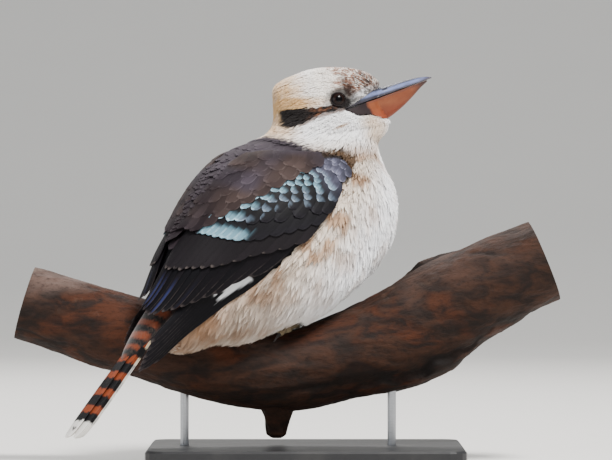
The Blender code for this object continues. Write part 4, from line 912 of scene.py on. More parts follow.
# Wings: rows of vanes laid on eight quill lines, as in the solids. Places on a wing are share along
# and degrees round; lines are numbered from the spine out, and may lie between two of them.
vaneOutline = ((0.0, 0.45), (0.25, 0.85), (0.6, 1.0), (0.82, 0.97), (0.91, 0.83), (0.96, 0.62), (0.99, 0.35),
               (1.0, 0.14))
roundOutline = ((0.0, 0.45), (0.25, 0.85), (0.55, 1.0), (0.75, 0.98), (0.87, 0.85), (0.94, 0.64), (0.98, 0.40),
                (1.0, 0.16))
wing = {
    "thick": 0.00022, "tier": 0.0016, "lineStarts": ((0.40, 20), (0.12, 88)),
    "heights": (0.00250, 0.00235, 0.00220, 0.00205, 0.00190, 0.00170, 0.00150, 0.00125),
    "secondaryTips": ((0.79, 6), (0.805, 18), (0.805, 30), (0.775, 44), (0.73, 58), (0.678, 71), (0.617, 83),
                      (0.545, 92)),
    "greaterTips": (0.655, 0.652, 0.639, 0.618, 0.578, 0.517, 0.44, 0.36),
    "medianTips": (0.53, 0.522, 0.506, 0.492, 0.471, 0.429, 0.357, 0.27),
    "primaryStarts": ((0.46, 66), (0.43, 94)),
    "primaryTips": ((0.870, 61), (0.920, 70), (0.955, 79), (0.962, 87), (0.905, 99)),
    "front": ((18, 0.17), (45, 0.09), (62, 0.030), (78, -0.014), (98, -0.006)),
    "spineSide": ((0.0, 17), (0.15, 16), (0.45, 1.0), (0.80, 1.0), (0.90, 50), (1.0, 76)),
    "lowerSide": ((0.0, 97), (0.1, 98), (0.5, 100), (0.62, 105), (0.72, 106.5), (0.84, 107.5), (0.93, 101),
                  (0.97, 96), (1.0, 92)),
    # how far inside the lower side the skin's own feathers end
    "underMargin": ((0.0, 7), (0.10, 5), (0.16, 1)),
    "nearSpine": 0.35, "farEnd": 0.968,
    # core under the vanes: how much of the wing it reaches, its top by the place along from the median
    # row's tips, its rim and its underside
    "coreRows": 34, "coreColumns": 22, "coreShare": 0.62, "coreRim": -0.0022, "coreFloor": -0.0028,
    "coreTop": ((-0.14, 0.0024), (-0.07, 0.0018), (-0.03, 0.0010), (0.0, 0.0004), (0.03, -0.0002),
                (0.06, -0.0008), (0.10, -0.0016), (0.14, -0.0022)),
    # lower edge of the scapulars: share along, degrees round; their first row's tips and lean
    "scapularEdge": ((0.00, 70), (0.04, 66), (0.08, 64.5), (0.15, 60), (0.215, 57), (0.26, 52), (0.326, 48.5),
                     (0.36, 44), (0.40, 39), (0.46, 33.5), (0.53, 20)),
    "scapularTips": ((0.530, 7, 0.5), (0.530, 14, 1), (0.515, 22, 2), (0.485, 29, 3), (0.450, 35, 4),
                     (0.412, 40, 4), (0.370, 44.5, 4), (0.325, 49, 4), (0.275, 53, 3), (0.220, 56.5, 3),
                     (0.165, 60, 3), (0.110, 63.5, 3)),
    "scapularRows": 8, "scapularStep": 0.052, "scapularLength": 0.125,
    # rows of small coverts: back from the median row's tips, length, half width
    "smallRows": ((0.062, 0.10, 0.0042), (0.112, 0.085, 0.0038), (0.157, 0.075, 0.0035), (0.197, 0.065, 0.0033),
                  (0.234, 0.060, 0.0031), (0.268, 0.055, 0.0029), (0.300, 0.055, 0.0028), (0.331, 0.050, 0.0027),
                  (0.361, 0.050, 0.0026), (0.390, 0.045, 0.0025), (0.418, 0.045, 0.0025)),
    # lower edges of the pale bands of coverts and of the shoulder's mark: degrees round, share along
    "paleEdge": ((34, 0.470), (49, 0.445), (53, 0.385), (59, 0.305), (62, 0.262), (69, 0.202), (79, 0.168),
                 (88, 0.125)),
    "secondEdge": ((34, 0.47), (49, 0.45), (58, 0.40), (62, 0.372), (65, 0.335), (68, 0.295), (74, 0.252),
                   (81, 0.228), (86, 0.180), (96, 0.12)),
    "markEdge": ((56, 0.150), (60, 0.110), (64, 0.078), (70, 0.040), (75, 0.014), (85, -0.010), (95, -0.03)),
    "black": (7, 6, 10), "blue": (58, 66, 116), "brown": (26, 21, 25), "turquoise": (132, 176, 194),
    "slateBlue": (112, 112, 134), "mark": (64, 47, 36), "covertDark": (20, 17, 24), "white": (248, 249, 252),
}
wingNames = {1: "wing_right", -1: "wing_left"}


# How far round a quill line is at a place along it.
def lineAround(line, along):
    tips = np.array(wing["secondaryTips"])
    tipAlong, tipAround = onLines(tips[:, 0], line), onLines(tips[:, 1], line)
    (firstAlong, firstAround), (lastAlong, lastAround) = wing["lineStarts"]
    share = line / (len(tips) - 1)
    startAlong = firstAlong + (lastAlong - firstAlong) * share
    startAround = firstAround + (lastAround - firstAround) * share
    return startAround + (tipAround - startAround) * (along - startAlong) / (tipAlong - startAlong)


# Number of the quill line through each place: one is added for each gap between lines that is passed.
def lineAt(along, around):
    turns = [lineAround(number, along) for number in range(len(wing["heights"]))]
    return sum(np.clip((around - low) / (high - low), 0, 1) for low, high in zip(turns, turns[1:]))


def onLines(values, line):
    return np.interp(line, np.arange(len(values)), values)


def placesOn(lines, along):
    return stacked(along, lineAround(lines, along))


# Keeps places on the wing, this many degrees in from its sides.
def withinWing(along, around, margin=0.3):
    along = np.clip(along, between(wing["front"], around) + 0.006, 0.964)
    spine = np.maximum(between(wing["spineSide"], along), wing["nearSpine"]) + margin
    return along, np.clip(around, spine, between(wing["lowerSide"], along) - margin)


def coatLike(along, colour):
    return np.tile(tone(*colour), (*along.shape, 1))


# Colours of the rows, from places on the wing, shares along and across the vane and its own number.
def brownColour(along, around, steps, across, own):
    return coatLike(along, wing["brown"])


def backColour(along, around, steps, across, own):
    place = stacked(along * lineLength, np.radians(around) * body["wingRadius"], 0.0).reshape(-1, 3)
    cloud = noise(place, 0.011, 21).reshape(along.shape)
    brown = smoothStep(0.3, 0.7, noise(place, 0.016, 22)).reshape(along.shape)
    share = 0.55 * smoothStep(0.12, 0.50, along) + 0.3 * (own - 0.5) + 0.9 * (cloud - 0.4)
    base = over(coatLike(along, plumage["mantle"]), "mantleBrown", brown)
    return over(base, "mantleDark", np.clip(share, 0, 1))


# Black, browner to the tips, with the white patch of the closed wing.
def primaryColour(along, around, steps, across, own):
    ends = smoothStep(0.508, 0.516, along + 0.002 * across)
    ends = ends * (1 - smoothStep(0.606, 0.622, along - 0.05 * (own - 0.5)))
    band = smoothStep(81.0, 83.0, around + 55 * (along - 0.60))
    band = band * (1 - smoothStep(94.5, 96.0, around + 22 * (along - 0.52)))
    colour = blendTo(coatLike(along, wing["black"]), tone(*wing["brown"]), 0.35 * smoothStep(0.8, 1.0, steps))
    return blendTo(colour, tone(*wing["white"]), ends * band * (around < 97))


# Black and brown, some with a blue outer web near the spine.
def secondaryColour(along, around, steps, across, own):
    colour = blendTo(coatLike(along, wing["black"]), tone(*wing["brown"]), 0.5 * own)
    blue = smoothStep(0.15, 0.75, across) * (1 - smoothStep(0.80, 0.98, across))
    blue = blue * (1 - smoothStep(40, 62, around)) * smoothStep(0.5, 0.75, steps)
    blue = blue * (1 - smoothStep(0.9, 1.0, steps))
    return blendTo(colour, tone(*wing["blue"]), 0.60 * blue * smoothStep(0.35, 0.75, own))


def medianColour(along, around, steps, across, own):
    pale = (1 - smoothStep(60, 67, around)) * smoothStep(0.68, 0.80, steps + 0.08 * own)
    pale = pale * smoothStep(27, 31, around)
    return blendTo(coatLike(along, wing["covertDark"]), tone(*wing["turquoise"]), pale * (0.85 + 0.15 * own))


# Pale blue above the first edge, tipped with it down to the second, dark below, slate at the wrist.
def covertColour(along, around, steps, across, own):
    dark, blue = tone(*wing["covertDark"]), tone(*wing["turquoise"])
    first = 1 - smoothStep(-0.012, 0.012, along - between(wing["paleEdge"], around))
    first = first * smoothStep(27, 31, around)
    tips = 1 - smoothStep(-0.010, 0.012, along - between(wing["secondEdge"], around))
    tips = tips * smoothStep(0.66, 0.86, steps)
    tipped = blendTo(coatLike(along, wing["slateBlue"]), blue, 0.35)
    colour = blendTo(coatLike(along, wing["covertDark"]), tipped, tips * 0.8)
    colour = blendTo(colour, blue, first * (0.75 + 0.25 * own) * smoothStep(0.58, 0.80, steps))
    wrist = blendTo(coatLike(along, wing["slateBlue"]), dark,
                    0.45 * smoothStep(82, 97, around) + 0.4 * (own - 0.5))
    colour = blendTo(colour, wrist, 1 - smoothStep(0.07, 0.17, along))
    # the shoulder's brown mark over the wrist, black at its edges
    inside = between(wing["markEdge"], around) - along
    mark = blendTo(coatLike(along, wing["mark"]), dark, (1 - smoothStep(0.0, 0.022, inside)) * 0.8)
    return blendTo(colour, mark, smoothStep(-0.004, 0.004, inside))


# Rows of vanes. In metres: half width, bow across, how far the tip rises and the root dips; vary is how
# far the tips stray in share and degrees, curve bends a row, ragged is how much the tips' barbs differ.
plainVane = {"columns": 9, "tilt": 0.085, "bow": 0.0004, "vary": (0.004, 0.6), "curve": 0.0, "ragged": 0.0,
             "rise": 0.0, "dip": 0.0, "outline": vaneOutline}
plainCovert = {**plainVane, "ragged": 0.02, "outline": roundOutline}
vaneRows = {
    "primaries": {**plainVane, "rows": 64, "columns": 7, "half": 0.0052, "tilt": 0.09, "bow": 0.0003, "seed": 31,
                  "vary": (0.002, 0.3), "curve": 1.2, "colour": primaryColour, "finish": "flight"},
    "secondaries": {**plainVane, "rows": 30, "half": 0.0056, "bow": 0.0003, "seed": 32, "ragged": 0.006,
                    "colour": secondaryColour, "finish": "flight"},
    "greater_coverts": {**plainCovert, "rows": 22, "half": 0.0055, "seed": 33, "colour": brownColour,
                        "finish": "covert"},
    "median_coverts": {**plainCovert, "rows": 18, "half": 0.0050, "seed": 34, "dip": 0.0008,
                       "colour": medianColour, "finish": "median"},
    "coverts": {**plainCovert, "rows": 10, "columns": 7, "tilt": 0.05, "bow": 0.0005, "seed": 40, "rise": 0.0007,
                "dip": 0.0006, "vary": (0.005, 1.2), "ragged": 0.03, "colour": covertColour,
                "finish": "scaled"},
    "scapulars": {**plainCovert, "rows": 14, "half": 0.0066, "tilt": 0.07, "bow": 0.0005, "seed": 60,
                  "rise": 0.0011, "dip": 0.0008, "vary": (0.008, 1.2), "ragged": 0.04, "colour": backColour,
                  "finish": "scapular"},
}


# The ring of a vane: its shares across, over the top and back under it, and 1 where it is underneath.
def vaneRing(columns):
    return (np.concatenate([np.linspace(-1, 1, columns), [1.0, -1.0]]),
            np.concatenate([np.zeros(columns), [1.0, 1.0]]))


# A strip of the bake map for each vane, its underside a little inside the strip.
def stripMap(count, steps, across, under):
    strip = (np.arange(count)[:, None, None] + 0.5 + 0.45 * across * (1 - 0.1 * under)) / count
    return stacked(strip, 0.02 + 0.96 * steps)


# A row of vanes. Across its width each is a thin bow; it rises from root to tip, its outer edge is
# tilted up, and its root dips. Heights are over the body.
def vaneRow(side, kind, roots, tips, heights, finishes, row=None, **own):
    look = {**vaneRows[kind], **own}
    roots, tips, heights = (np.asarray(part, float) for part in (roots, tips, heights))
    chance = np.random.default_rng(look["seed"] + (row or 0) + (0 if side == 1 else 50))
    count, rows, columns = len(roots), look["rows"], look["columns"]
    tips = tips + chance.uniform(-1, 1, tips.shape) * look["vary"]
    half = look["half"] * chance.uniform(0.94, 1.06, count)[:, None, None]
    steps = np.linspace(0, 1, rows)[None, :, None]
    across, under = (part[None, None] for part in vaneRing(columns))
    ahead = ((tips - roots)[:, 0] * lineLength)[:, None, None]
    aside = (np.radians((tips - roots)[:, 1]) * body["wingRadius"])[:, None, None]
    size = np.hypot(ahead, aside)
    offset = half * between(look["outline"], steps) * across
    ragged = chance.uniform(0, look["ragged"], (count, 1, columns))
    ragged = np.concatenate([ragged, ragged[..., -1:], ragged[..., :1]], axis=2) * smoothStep(0.75, 1.0, steps)
    reachAlong = roots[:, 0, None, None] + (tips - roots)[:, 0, None, None] * (steps - ragged)
    reachAround = roots[:, 1, None, None] + (tips - roots)[:, 1, None, None] * steps
    bend = look["curve"] * np.sin(steps * math.pi)
    along = reachAlong - offset * aside / size / lineLength
    around = reachAround + bend + np.degrees(offset * ahead / size / body["wingRadius"])
    along, around = withinWing(along, around)
    height = heights[:, None, None] + look["rise"] * steps + look["tilt"] * offset
    height = height - look["dip"] * np.clip(1 - steps / 0.5, 0, 1) ** 2
    height = height + look["bow"] * (1 - across ** 2) - under * wing["thick"]
    number = chance.random(count)[:, None, None]
    colours = look["colour"](*np.broadcast_arrays(along, around, steps, across, number))
    name = wingNames[side] + "_" + kind + ("" if row is None else "_" + str(row + 1))
    piece = buildMesh(name, onWing(along, around, height, side), tubeFaces(count, rows, columns + 2),
                      finishes[look["finish"]], colours, stacked(steps, across, number),
                      stripMap(count, steps, across, under), 50, stacked(steps * size, offset, number))


# Core under the vanes, from the front edge back past the coverts, its rim rounded over four cells.
def makeCore(side, finish):
    rows, columns = wing["coreRows"], wing["coreColumns"]
    share = np.linspace(0, 1, rows)[:, None] * wing["coreShare"]
    down = np.linspace(0, 1, columns)[None]
    around = np.full((rows, columns), 50.0)
    for _ in range(3):
        start = between(wing["front"], around)
        along = start + (wing["farEnd"] - start) * share
        spine = between(wing["spineSide"], along)
        around = np.maximum(spine + (between(wing["lowerSide"], along) - spine) * down, wing["nearSpine"])
    line = lineAt(along, around)
    height = onLines(wing["heights"], line) + between(wing["coreTop"], along - onLines(wing["medianTips"], line))
    row, column = np.ogrid[:rows, :columns]
    rounding = np.clip(np.minimum(row, np.minimum(column, columns - 1 - column)) / 4, 0, 1)
    height = wing["coreRim"] + (height - wing["coreRim"]) * np.sqrt(rounding)
    lower = onWing(along, around, wing["coreFloor"], side)
    ring = np.concatenate([onWing(along, around, height, side), lower[:, ::-1]], axis=1)
    flat = stacked(share, down)
    bakeMap = np.concatenate([flat * 0.48, flat[:, ::-1] * 0.48 + 0.5], axis=1)
    colours = np.tile(tone(*wing["black"]), (*ring.shape[:2], 1))
    piece = buildMesh(wingNames[side] + "_core", ring, tubeFaces(1, rows, columns * 2), finish, colours,
                      np.tile([0.5, 0.0, 0.5], (*ring.shape[:2], 1)), bakeMap, place=ring)
    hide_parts(wingNames[side])


def makeWing(side, finishes):
    makeCore(side, finishes["flight"])
    # primaries: the outermost lies lowest
    numbers = np.linspace(0, 1, 8)
    tips = np.array(wing["primaryTips"])
    at = numbers * (len(tips) - 1)
    first, last = np.array(wing["primaryStarts"])
    vaneRow(side, "primaries", first + (last - first) * numbers[:, None],
            stacked(onLines(tips[:, 0], at), onLines(tips[:, 1], at)),
            -0.00155 + 0.00144 * (1 - numbers), finishes)
    # secondaries: the outermost end sooner and higher, clear of the white patch
    lines = np.linspace(0, 7, 13)
    ends = onLines(np.array(wing["secondaryTips"])[:, 0], lines) - 0.030 * smoothStep(6.0, 7.0, lines)
    outer = smoothStep(4.5, 6.6, lines)
    starts = onLines(wing["medianTips"], lines) - 0.02
    vaneRow(side, "secondaries", placesOn(lines, starts) - stacked(0, 2 * outer),
            placesOn(lines, ends) - stacked(0, 4 * outer), onLines(wing["heights"], lines), finishes)
    # greater and median coverts, the lines of one row between those of the next
    lines = np.linspace(0.25, 7, 14)
    vaneRow(side, "greater_coverts", placesOn(lines, onLines(wing["medianTips"], lines) - 0.10),
            placesOn(lines, onLines(wing["greaterTips"], lines)), onLines(wing["heights"], lines) + wing["tier"],
            finishes)
    lines = np.linspace(1.0, 7, 13)
    ends = onLines(wing["medianTips"], lines)
    vaneRow(side, "median_coverts", placesOn(lines, ends - 0.15), placesOn(lines, ends),
            onLines(wing["heights"], lines) + 2 * wing["tier"] - 0.0004, finishes)
    # smaller coverts up to the wrist, a little shorter and closer in each row
    for row, (back, size, half) in enumerate(wing["smallRows"]):
        lines = np.arange(1.2 + 0.5 * (row % 2) * half / 0.0037, 7.3, half / 0.0062)
        ends = onLines(wing["medianTips"], lines) - back
        around = lineAround(lines, ends)
        good = (around > between(wing["scapularEdge"], ends) - 5) & (around < 99)
        good &= ends > between(wing["front"], around) + 0.012
        if not good.any():
            continue
        lines, ends, around = lines[good], ends[good], around[good]
        starts = np.maximum(ends - size, between(wing["front"], around) + 0.004)
        heights = onLines(wing["heights"], lines) + 2 * wing["tier"] - 0.0001 - 0.0011 * row / 10
        vaneRow(side, "coverts", placesOn(lines, starts), placesOn(lines, ends), heights, finishes, row,
                half=half)
    # scapulars, row after row forward to the mantle
    for row in range(wing["scapularRows"]):
        roots, tips, heights = [], [], []
        for along, around, lean in wing["scapularTips"]:
            tipAlong = along - row * wing["scapularStep"]
            tipAround = around - row * lean * 0.47 + 1.6 * (row % 2)
            start = max(tipAlong - wing["scapularLength"], float(between(wing["front"], tipAround)) + 0.010)
            if tipAlong - start < 0.05 or tipAround < float(between(wing["spineSide"], tipAlong)) + 2:
                continue
            roots.append((start, tipAround - lean * (tipAlong - start) / 0.11))
            tips.append((tipAlong, tipAround))
            heights.append(np.interp(around, [6, 92], [0.0025, 0.00125]) + 2 * wing["tier"] - 0.0001)
        if roots:
            vaneRow(side, "scapulars", roots, tips, heights, finishes, row)
    print(wingNames[side])


# Tail: six pairs of barred feathers, each a pair further out and down. In metres along the tail: its
# root and length, how much shorter each pair is, one bar, where the black and the white tip begin.
tail = {
    "length": 0.153, "root": 0.054, "half": 0.0046, "step": 0.00085, "spread": 0.00030, "splay": 0.0007,
    "shorter": (0.0, 0.0004, 0.0009, 0.0016, 0.0026, 0.0040), "rows": 90, "columns": 9, "thick": 0.00025,
    "bow": 0.0003, "bar": 0.0148, "blackFrom": 0.1325, "whiteFrom": 0.1395, "middleMark": 0.1470, "palePairs": 4,
    "rufous": (136, 62, 32), "black": (12, 10, 13), "white": (236, 232, 226), "cream": (214, 196, 164),
}


# Colour of one tail feather: bars that waver, a black band and a white tip; the outer pairs have a
# pale outer edge as well, the middle pair a dark mark at its tip.
def tailColour(pair, along, where, across, own):
    wave = noise(stacked(along, where, pair * 0.1).reshape(-1, 3), 0.0022, pair).reshape(where.shape)
    shift = along + 0.0016 * (wave - 0.5) + 0.0010 * np.abs(across) + 0.0006 * own
    bars = smoothStep(-0.12, 0.12, np.sin(shift * 2 * math.pi / tail["bar"] + 3.23) - 0.28)
    light = tone(*tail["rufous" if pair < tail["palePairs"] else "cream"])
    colour = blendTo(coatLike(where, tail["black"]), light, bars)
    black = smoothStep(tail["blackFrom"], tail["blackFrom"] + 0.001, shift)
    colour = blendTo(colour, tone(*tail["black"]), black)
    pale = smoothStep(tail["whiteFrom"] - 0.0004, tail["whiteFrom"] + 0.0004, shift)
    if pair >= tail["palePairs"]:
        edge = smoothStep(0.72, 0.80, across) * smoothStep(0.080, 0.095, shift)
        pale = np.maximum(pale, edge * (0.75 + 0.25 * bars))
    elif pair == 0:
        mark = 1 - smoothStep(0.0008, 0.0014, np.abs(shift - tail["middleMark"] + 0.0024 * np.abs(across)))
        pale = pale * (1 - 0.9 * mark * (np.abs(across) < 0.55))
    return blendTo(colour, tone(*tail["white"]), pale)


# Each feather runs straight down the tail, out by its pair and spreading a little to its tip; across
# its width it is a thin bow whose outer edge falls.
def makeTail(finish):
    grids, colours, vanes, places = [], [], [], []
    steps = np.linspace(0, 1, tail["rows"])[:, None]
    across, under = (part[None] for part in vaneRing(tail["columns"]))
    chance = np.random.default_rng(71)
    for (pair, shorter), aside in itertools.product(enumerate(tail["shorter"]), (1, -1)):
        if pair == 0:
            out, level = 0.0006, tail["step"] / 2 * aside
        else:
            out = tail["half"] + 0.00025 + tail["spread"] * (pair - 1)
            level = -tail["step"] * (pair + 0.5)
        along = tail["root"] + (tail["length"] - shorter - tail["root"]) * steps
        offset = tail["half"] * between(vaneOutline, steps) * across
        where = aside * (out + tail["splay"] * steps * out / tail["half"] + offset)
        above = level - 0.10 * np.maximum(offset, 0) * (out > tail["half"] / 2)
        above = above + tail["bow"] * (1 - across ** 2) - under * tail["thick"]
        own = chance.random()
        grids.append(onTail(along, where, above))
        colours.append(tailColour(pair, along, where, across, own))
        vanes.append(stacked(steps, across, own))
        places.append(stacked(along, offset, own))
    piece = buildMesh("tail_feathers", np.stack(grids), tubeFaces(len(grids), tail["rows"], tail["columns"] + 2),
                      finish, np.stack(colours), np.stack(vanes),
                      stripMap(len(grids), steps[None], across[None], under[None]), 50, np.stack(places))
    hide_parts("tail")
    print("tail")


# Bill: sections along the mouth's edge, an arch over a flat floor and a keel under a flat roof
bill = {
    "back": -0.004, "gap": 0.00015, "inset": 0.0002, "rows": 110, "sides": 61, "thin": 0.0003,
    "halves": {
        "upper": {"length": 0.0638, "ridge": "culmen", "power": 1.7, "edge": 1.0, "sign": 1,
                  "slot": "bill_slate"},
        "lower": {"length": 0.0600, "ridge": "gonys", "power": 2.2, "edge": 0.94, "sign": -1,
                  "slot": "bill_horn"},
    },
    "half": ((-0.004, 0.0150), (0.0, 0.0155), (0.008, 0.0148), (0.020, 0.0118), (0.032, 0.0088), (0.045, 0.0058),
             (0.056, 0.0031), (0.061, 0.0018), (0.0638, 0.0007)),
    "culmen": ((-0.004, 0.0095), (0.010, 0.0088), (0.020, 0.0078), (0.0294, 0.0064), (0.040, 0.0055),
               (0.0477, 0.0048), (0.056, 0.0035), (0.061, 0.0020), (0.0638, 0.0007)),
    "gonys": ((-0.004, 0.0120), (0.010, 0.0155), (0.022, 0.0160), (0.036, 0.0122), (0.047, 0.0072),
              (0.055, 0.0030), (0.060, 0.0010)),
    # nostril: place along and up, half length and half height, degrees up, depth
    "nostril": (0.0300, 0.0040, 0.0024, 0.0008), "nostrilTilt": 4, "nostrilDepth": 0.0008,
    # sheen is the pale blue band painted along the upper half: a painted highlight
    "slate": (42, 44, 54), "sheen": (126, 138, 184), "horn": (118, 60, 34), "paleHorn": (140, 84, 54),
    "red": (136, 40, 28), "tip": (44, 28, 32), "patch": (24, 18, 22),
}


# Half width of the upper half with its nostrils and the groove along its side pressed in.
def pressed(wide, half, tall, ridge, along, across):
    middleAlong, middleUp, long, high = bill["nostril"]
    tilt = math.radians(bill["nostrilTilt"])
    cosine, sine = math.cos(tilt), math.sin(tilt)
    dx, dz = along - middleAlong, tall - middleUp
    dent = np.exp(-(((dx * cosine + dz * sine) / long) ** 4 + ((dz * cosine - dx * sine) / high) ** 2))
    wide = wide * (1 - bill["nostrilDepth"] * dent / np.maximum(half, 0.002))
    groove = np.exp(-((tall - 0.55 * ridge) / (0.10 * ridge)) ** 2) * smoothStep(0.008, 0.02, along)
    return wide - np.sign(across) * 0.00012 * groove * (1 - smoothStep(0.045, 0.055, along))


# Behind the feathers' edge the bill's bare sides are flush with the face.
def flushed(wide, along, across, height):
    middle = onBill(along, 0.0, height).reshape(-1, 3)
    aside = np.sign(across.ravel() + 1e-6)[None] * np.ones((bill["rows"], 1))
    face = reach(middle, aside.reshape(-1, 1) * billFrame[:, 1], -bill["inset"], limit=0.04).reshape(wide.shape)
    reached = bare(middle, -0.0008).reshape(wide.shape) * (field(middle)[0].reshape(wide.shape) < -0.0015)
    reached = reached * (1 - smoothStep(0.0215, 0.0270, along))
    return np.where(np.abs(wide) < face, wide + (np.sign(across) * face - wide) * reached, wide)


# A section's height falls from its ridge to its edge by a power of the share across, its width is the
# half width times that share with a thin lip at the edge, and a flat sheet closes it at the mouth.
def makeBill(finishes):
    for name, shape in bill["halves"].items():
        sign, rows = shape["sign"], bill["rows"]
        along = np.sin(np.linspace(0, math.pi / 2, rows))[:, None]
        along = bill["back"] + (shape["length"] - bill["back"]) * along
        half = curveThrough(bill["half"], along[:, 0]) * shape["edge"]
        ridge = curveThrough(bill[shape["ridge"]], along[:, 0])
        across = np.sin(np.linspace(-math.pi / 2, math.pi / 2, bill["sides"]))[None]
        tall = ridge * (1 - np.abs(across) ** shape["power"])
        wide = half * across + np.sign(across) * (0.00025 * np.exp(-((tall - 0.0006) / 0.0005) ** 2))
        if name == "upper":
            wide = pressed(wide, half, tall, ridge, along, across)
        height = sign * np.maximum(tall, bill["thin"]) + sign * bill["gap"]
        wide = flushed(wide, along, across, height)
        floor = np.linspace(0.9, -0.9, 9)[None]
        flat = onBill(along, half * floor, sign * bill["gap"])
        ring = np.concatenate([onBill(along, wide, height), flat], axis=1)
        place = np.concatenate([stacked(along, wide, sign * tall), stacked(along, half * floor, 0.0)], axis=1)
        piece = buildMesh("bill_" + name + "_half", ring, tubeFaces(1, rows, ring.shape[1]), finishes[name],
                          bakeMap=sheetMap(rows, ring.shape[1], 0.01), sharp=45, place=place)
        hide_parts("bill_" + name)
    print("bill")


# Eyes: a dark ball sunk in the head, with lids as a ring of small beads of skin
eye = {
    "place": (0.0477, 0.1599), "radius": 0.0063, "depth": 0.0041, "bulge": 0.035, "rows": 48, "columns": 64,
    "lidRadius": 0.0049, "lidLong": 1.10, "lidHigh": 0.97, "lidThick": 0.0005, "lidRows": 96, "lidSides": 12,
    "beads": 24, "beadHeight": 0.16, "pupil": (2, 2, 3), "iris": (17, 9, 7), "lid": (20, 15, 16),
}


# Middle of an eye's ball, the way it looks and its place on the surface.
def eyeWay(side):
    middle = feet + headPlace(*eye["place"])
    way = np.array([0.0, -1.0, 0.0]) * side
    onSkin = middle + way * reach(middle[None], way[None])[0]
    outward = field(onSkin[None])[1][0]
    return onSkin - outward * eye["depth"], outward, onSkin


# The ball is a sphere with a low bulge in front; the lids are an oval ring of tube, thinner at the
# corners, whose thickness waves round it as beads.
def makeEyes(finishBall, finishLid):
    for name, side in (("eye_right", 1), ("eye_left", -1)):
        centre, outward, onSkin = eyeWay(side)
        front = unit(np.cross(outward, (0.0, 0.0, 1.0)))
        up = np.cross(front, outward)
        polar = np.linspace(0.02, math.pi - 0.02, eye["rows"])[:, None]
        spin = np.linspace(0, 2 * math.pi, eye["columns"], endpoint=False)[None]
        radius = eye["radius"] * (1 + eye["bulge"] * np.exp(-(polar / 0.55) ** 2))
        ball = centre + (np.cos(polar) * radius)[..., None] * outward
        ball = ball + (np.sin(polar) * radius)[..., None] * (
            np.cos(spin)[..., None] * front + np.sin(spin)[..., None] * up)
        disc = 0.48 * polar / math.pi
        piece = buildMesh(name + "_ball", ball, tubeFaces(1, eye["rows"], eye["columns"]), finishBall,
                          bakeMap=stacked(0.5 + disc * np.cos(spin), 0.5 + disc * np.sin(spin)), sharp=None,
                          place=stacked(polar, spin, 0.0))
        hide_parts(name)
        rows, sides = eye["lidRows"], eye["lidSides"]
        turns = np.linspace(0, 2 * math.pi, rows, endpoint=False)[:, None]
        rounds = np.linspace(0, 2 * math.pi, sides, endpoint=False)[None]
        beads = 1 + eye["beadHeight"] * np.sin(turns * eye["beads"]) * np.cos(rounds)
        thick = eye["lidThick"] * beads * (1 - 0.25 * np.cos(turns) ** 2)
        spoke = np.cos(turns)[..., None] * eye["lidLong"] * front
        spoke = spoke + np.sin(turns)[..., None] * eye["lidHigh"] * up
        ring = onSkin + spoke * (eye["lidRadius"] + thick * np.cos(rounds))[..., None]
        ring = ring + outward * (thick * 0.9 * np.sin(rounds) + 0.0001)[..., None]
        lid = buildMesh(name + "_lids", ring, [gridFaces(rows + 1, sides, True) % (rows * sides)], finishLid,
                        bakeMap=stacked(turns / 6.4, rounds / 6.4), sharp=None)
    print("eyes")


# Feet: toes as tubes with scutes over the perch, and curved claws; a place is right along the perch and
# degrees round it, a toe its heading from the foot and its length
foot = {
    "places": {"right": (-0.010, 17), "left": (-0.040, -16)}, "leftTurn": 6,
    "toes": {"inner": (28, 0.0150), "middle": (54, 0.0225), "outer": (80, 0.0190), "hind": (232, 0.0125)},
    "radius": 0.0026, "scutes": 9, "rows": 60, "sides": 16, "shank": 0.017, "shankRadius": 0.0033,
    "shankScute": 0.0017, "clawLength": 0.0085, "clawRadius": 0.0014, "clawRows": 24, "clawSides": 14,
    "clawArch": (0.74, 0.84, 0.78, 0.58, 0.30), "skin": (172, 152, 118), "claw": (40, 36, 38),
}


# A tube through points with a radius at each; its rings start from the same way of their own.
def tubePoints(points, radii, sides):
    ways = unit(np.gradient(points, axis=0))
    side = unit(np.cross(ways, (0.31, 0.9, 0.27)))
    other = np.cross(ways, side)
    turned = np.linspace(0, 2 * math.pi, sides, endpoint=False)[None, :, None]
    spoke = side[:, None] * np.cos(turned) + other[:, None] * np.sin(turned)
    return points[:, None] + spoke * radii[:, None, None]


# Shares along the perch and degrees round it on the way of a toe, and past its end.
def toePath(name, toe, steps, beyond=0.0):
    right, around = foot["places"][name]
    heading, length = foot["toes"][toe]
    heading = math.radians(heading - (foot["leftTurn"] if name == "left" else 0))
    radius = float(perchFrame(perchShare(right))[1][0]) + foot["radius"]
    travel = steps * length + beyond
    return (perchShare(right + travel * math.cos(heading)),
            around - np.degrees(travel * math.sin(heading) / radius))


